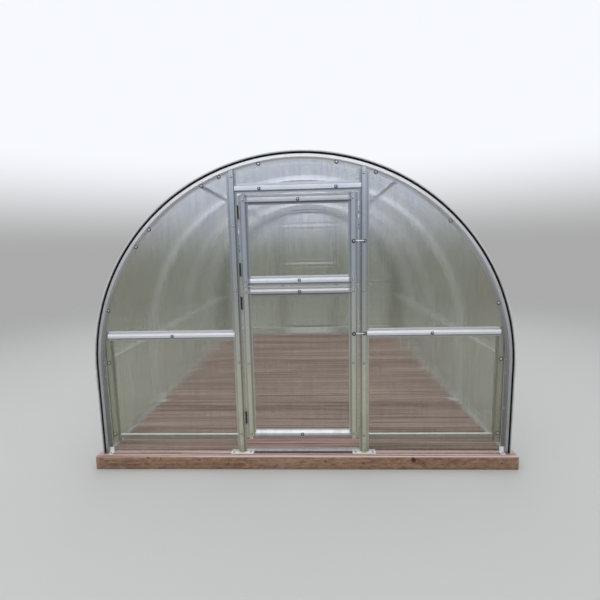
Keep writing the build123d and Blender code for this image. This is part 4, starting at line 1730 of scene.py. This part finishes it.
@dataclass
class EndWall:
    """One end wall's steel, sheets and fasteners, without its door leaves.

    Every size is given as at the front.
    """

    end: End
    flange_y: float = -2.0012
    web_y: float = -2.020
    sheet_y: float = -2.000
    screw_radius: float = 1.448
    screw_angles: tuple[float, ...] = (18.1, 44.5, 68.6, 79.4, 100.4, 111.7, 117.0, 136.1, 142.3, 162.5)
    rivet_heights: tuple[float, ...] = (0.790, 0.690, 0.430)
    post_x: float = 0.448
    stud_x: float = 0.450
    left_post_heights: tuple[float, ...] = (0.245, 0.790, 1.310, 1.758, 2.085)
    right_post_heights: tuple[float, ...] = (0.168, 0.232, 0.775, 1.297, 2.085)
    rail_screws: Profile = ((-0.26, 2.003), (0.26, 2.003), (-0.922, 0.990), (0.922, 0.990))
    stud_screws: Profile = ((1.410, 0.792), (1.410, 0.240))
    lip_section: Profile = (
        (-2.0178, 1.4925), (-2.0200, 1.4925), (-2.0224, 1.4895),
        (-2.0224, 1.4830), (-2.0205, 1.4802), (-2.0195, 1.4802),
    )
    lip_steps: int = 96
    # A black strip on the boards in front of the sill: painted shadow.
    shadow_strip_section: Profile = ((-2.0175, 0.0983), (-2.0030, 0.0983), (-2.0030, 0.1010), (-2.0155, 0.1010))
    shadow_strip_reach: float = 0.362

    def build(self) -> None:
        """Dress the wall's nodes, drive its fasteners, lay the seal's lip and a black strip of painted
        shadow by the sill.
        """
        name = self.end.value
        for node, finish in (
            ("arch", PALETTE.arch_steel), ("arch_feet", PALETTE.plate_zinc),
            ("header", PALETTE.header_steel), ("mid_rails", PALETTE.rail_steel),
            ("bottom_rails", PALETTE.inner_rail_steel), ("sill", PALETTE.sill_steel),
            ("door_posts", PALETTE.post_steel), ("side_studs", PALETTE.stud_steel),
            ("hinges", PALETTE.hinge_zinc), ("latch_studs", PALETTE.shadow_dark_zinc),
            ("side_panels", PALETTE.end_sheet), ("top_panel", PALETTE.end_sheet),
            ("seal", PALETTE.seal),
        ):
            dress(finish, f"{name}_{node}")
        sketch = MeshSketch()
        for fixing in self.fixings():
            sketch.fixing(fixing, self.end.turn())
        sketch.piece(f"{name}_wall_screws", [PALETTE.zinc, PALETTE.seal])
        self.rubber()

    def rubber(self) -> None:
        """Lay the seal's lip over the edge of the arch, and a black strip of painted shadow on the boards
        in front of the sill.
        """
        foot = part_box(f"{self.end.value}_seal")[0].z
        lip = MeshSketch()
        lip.arched(self.lip_section, foot, self.lip_steps, self.end.turn())
        lip.piece(f"{self.end.value}_seal_lip", [PALETTE.seal])
        shadow_strip = MeshSketch()
        shadow_strip.swept(self.shadow_strip_section, -self.shadow_strip_reach, self.shadow_strip_reach, self.end.turn())
        shadow_strip.piece(f"{self.end.value}_sill_shadow_strip", [PALETTE.seal])

    def fixings(self) -> list[Fixing]:
        """Place every fastener of the wall, as at the front.

        Returns:
            The fasteners.
        """
        made = []
        for degrees in self.screw_angles:
            angle = math.radians(degrees)
            x = self.screw_radius * math.cos(angle)
            z = ARCH_CENTRE + self.screw_radius * math.sin(angle)
            made.append(Fixing((x, self.flange_y, z), OUTWARD, Head.ARCH_SCREW))
        for side in (-1.0, 1.0):
            for z in self.rivet_heights:
                made.append(Fixing((side * self.screw_radius, self.flange_y, z), OUTWARD, Head.RIVET))
            for x, z in self.stud_screws:
                made.append(Fixing((side * x, self.sheet_y, z), OUTWARD, Head.SHEET_SCREW))
        for side, heights in ((-1.0, self.left_post_heights), (1.0, self.right_post_heights)):
            for z in heights:
                made.append(Fixing((side * self.post_x, self.web_y, z), OUTWARD, Head.POST_SCREW))
        # A black ring of painted shade round each latch stud.
        for level in Level:
            low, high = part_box(f"{self.end.value}_{level.value}_latch")
            point = (self.stud_x, self.web_y, (low.z + high.z) / 2)
            made.append(Fixing(point, OUTWARD, Head.STUD_SHADOW_RING))
        for x, z in self.rail_screws:
            made.append(Fixing((x, self.web_y, z), OUTWARD))
        return made


@dataclass
class DoorLeaf:
    """One leaf of a split door with its pane, hinges and hook."""

    end: End
    level: Level
    web_y: float = -2.020
    corner_x: float = 0.374
    rail_inset: float = 0.036
    stile_height: float = 0.782
    pivot_x: float = 0.377
    hook_face: float = -2.027

    def build(self) -> None:
        """Dress the leaf's nodes and drive its fasteners."""
        end, level = self.end.value, self.level.value
        body, steel = HOUSE, PALETTE.upper_leaf_steel
        if self.level is Level.LOWER:
            body, steel = f"{end}_lower_leaf", PALETTE.lower_leaf_steel
            dress(PALETTE.hinge_zinc, f"{end}_lower_hinge_plates")
        dress(steel, f"{end}_{level}_leaf_frame")
        dress(PALETTE.end_sheet, f"{end}_{level}_leaf_pane")
        dress(PALETTE.hook_zinc, f"{end}_{level}_latch")
        sketch = MeshSketch()
        for fixing in self.fixings():
            sketch.fixing(fixing, self.end.turn())
        sketch.piece(f"{end}_{level}_leaf_screws", [PALETTE.zinc, PALETTE.seal], body)

    def fixings(self) -> list[Fixing]:
        """Place every fastener of the leaf, as at the front.

        Returns:
            The fasteners.
        """
        leaf = f"{self.end.value}_{self.level.value}"
        low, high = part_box(f"{leaf}_leaf_frame")
        stiles = (-self.corner_x, self.corner_x)
        made = []
        for z in (low.z + self.rail_inset, high.z - self.rail_inset):
            made.append(Fixing((0.0, self.web_y, z), OUTWARD))
            made += [Fixing((x, self.web_y, z), OUTWARD, Head.POST_SCREW) for x in stiles]
        if self.level is Level.LOWER:
            made += [Fixing((x, self.web_y, self.stile_height), OUTWARD, Head.POST_SCREW) for x in stiles]
        # The pivot's black pad is painted shade.
        low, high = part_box(f"{leaf}_latch")
        pivot = (self.pivot_x, self.hook_face, (low.z + high.z) / 2)
        return made + [Fixing(pivot, OUTWARD, Head.PIVOT)]


@dataclass(frozen=True)
class Lamp:
    """One soft lamp that faces a target, with its width and height in metres and its power in watts."""

    name: str
    place: Point
    target: Point
    size: Span
    power: float

    def hang(self) -> None:
        """Hang the lamp in the scene."""
        light = bpy.data.lights.new(self.name, "AREA")
        light.shape = "RECTANGLE"
        light.size, light.size_y = self.size
        light.energy = self.power
        way = Vector(self.target) - Vector(self.place)
        lamp = linked(self.name, light)
        lamp.location = self.place
        lamp.rotation_euler = way.to_track_quat("-Z", "Y").to_euler()


@dataclass
class Studio:
    """Pale floor, soft light and the camera at the photograph's angle."""

    eye: Point = (0.113, -4.722, 1.597)
    yaw: float = -2.35
    pitch: float = -7.57
    roll: float = -1.23
    lens: float = 23.4
    sensor: float = 36.0
    view_reach: float = 200.0
    backdrop: Colour = (0.40, 0.405, 0.40)
    backdrop_top: Colour = (0.93, 0.95, 1.00)
    backdrop_rise: float = 0.22
    sky: Colour = (0.60, 0.61, 0.63)
    floor: Colour = (0.58, 0.58, 0.57)
    floor_reach: float = 30.0
    floor_cells: int = 24
    floor_fade: Span = (4.0, 11.0)
    lamps: tuple[Lamp, ...] = (
        Lamp("front", (-1.0, -7.5, 5.2), (0.0, -2.0, 1.0), (11.0, 2.6), 150.0),
        Lamp("top", (0.0, 0.0, 6.8), (0.0, 0.0, 0.0), (7.0, 7.0), 220.0),
    )

    def build(self) -> None:
        """Set up the floor, the world, the lamps, the camera and the view transform."""
        self.lay_floor()
        self.light_world()
        for lamp in self.lamps:
            lamp.hang()
        self.set_camera()
        bpy.context.scene.view_settings.view_transform = "Standard"
        LOG.info("studio ready")

    def lay_floor(self) -> None:
        """Lay a wide pale floor that fades into the backdrop."""
        shape = bmesh.new()
        cells = self.floor_cells
        bmesh.ops.create_grid(shape, x_segments=cells, y_segments=cells, size=self.floor_reach)
        mesh = bpy.data.meshes.new("studio_floor")
        shape.to_mesh(mesh)
        shape.free()
        finish = bpy.data.materials.new("studio_floor")
        finish.use_nodes = True
        sketch = NodeSketch(finish.node_tree)
        reach = sketch.vector("LENGTH", sketch.place())
        share = sketch.math("MULTIPLY", sketch.ramp(reach, *self.floor_fade), sketch.looked_at())
        matt = sketch.add("BsdfDiffuse", {"Color": opaque(self.floor)})
        sketch.show(sketch.blend(share, matt, sketch.add("BsdfTransparent")))
        mesh.materials.append(finish)
        linked("studio_floor", mesh)

    def light_world(self) -> None:
        """Put even light all round, and the backdrop before what looks straight at it."""
        world = bpy.data.worlds.new("studio")
        bpy.context.scene.world = world
        world.use_nodes = True
        sketch = NodeSketch(world.node_tree)
        height = sketch.split(sketch.add("TexCoord").outputs["Generated"])[2]
        tone = sketch.mix(sketch.ramp(height, 0.0, self.backdrop_rise), self.backdrop, self.backdrop_top)
        light = sketch.add("Background", {0: opaque(self.sky), 1: 1.0})
        shown = sketch.add("Background", {0: tone, 1: 1.0})
        sketch.show(sketch.blend(sketch.looked_at(), light, shown), "OutputWorld")

    def set_camera(self) -> None:
        """Stand the camera where the photograph was taken from."""
        yaw, pitch, roll = (math.radians(angle) for angle in (self.yaw, self.pitch, self.roll))
        ahead = Vector((math.sin(yaw) * math.cos(pitch), math.cos(yaw) * math.cos(pitch), math.sin(pitch)))
        right = Vector((math.cos(yaw), -math.sin(yaw), 0.0))
        up = right.cross(ahead)
        tilted_right = math.cos(roll) * right + math.sin(roll) * up
        tilted_up = math.cos(roll) * up - math.sin(roll) * right
        turn = Matrix((tilted_right, tilted_up, -ahead)).transposed().to_4x4()
        lens = bpy.data.cameras.new("photo_view")
        lens.lens = self.lens
        lens.sensor_width = self.sensor
        lens.clip_end = self.view_reach
        camera = linked("photo_view", lens)
        camera.matrix_world = Matrix.Translation(self.eye) @ turn
        bpy.context.scene.camera = camera


def main() -> None:
    """Build the house piece by piece and light it."""
    logging.basicConfig(level=logging.INFO, format="%(name)s %(message)s")
    Deck().build()
    Shell().build()
    for end in End:
        EndWall(end).build()
        for level in Level:
            DoorLeaf(end, level).build()
    Studio().build()


if __name__ == "__main__":
    main()
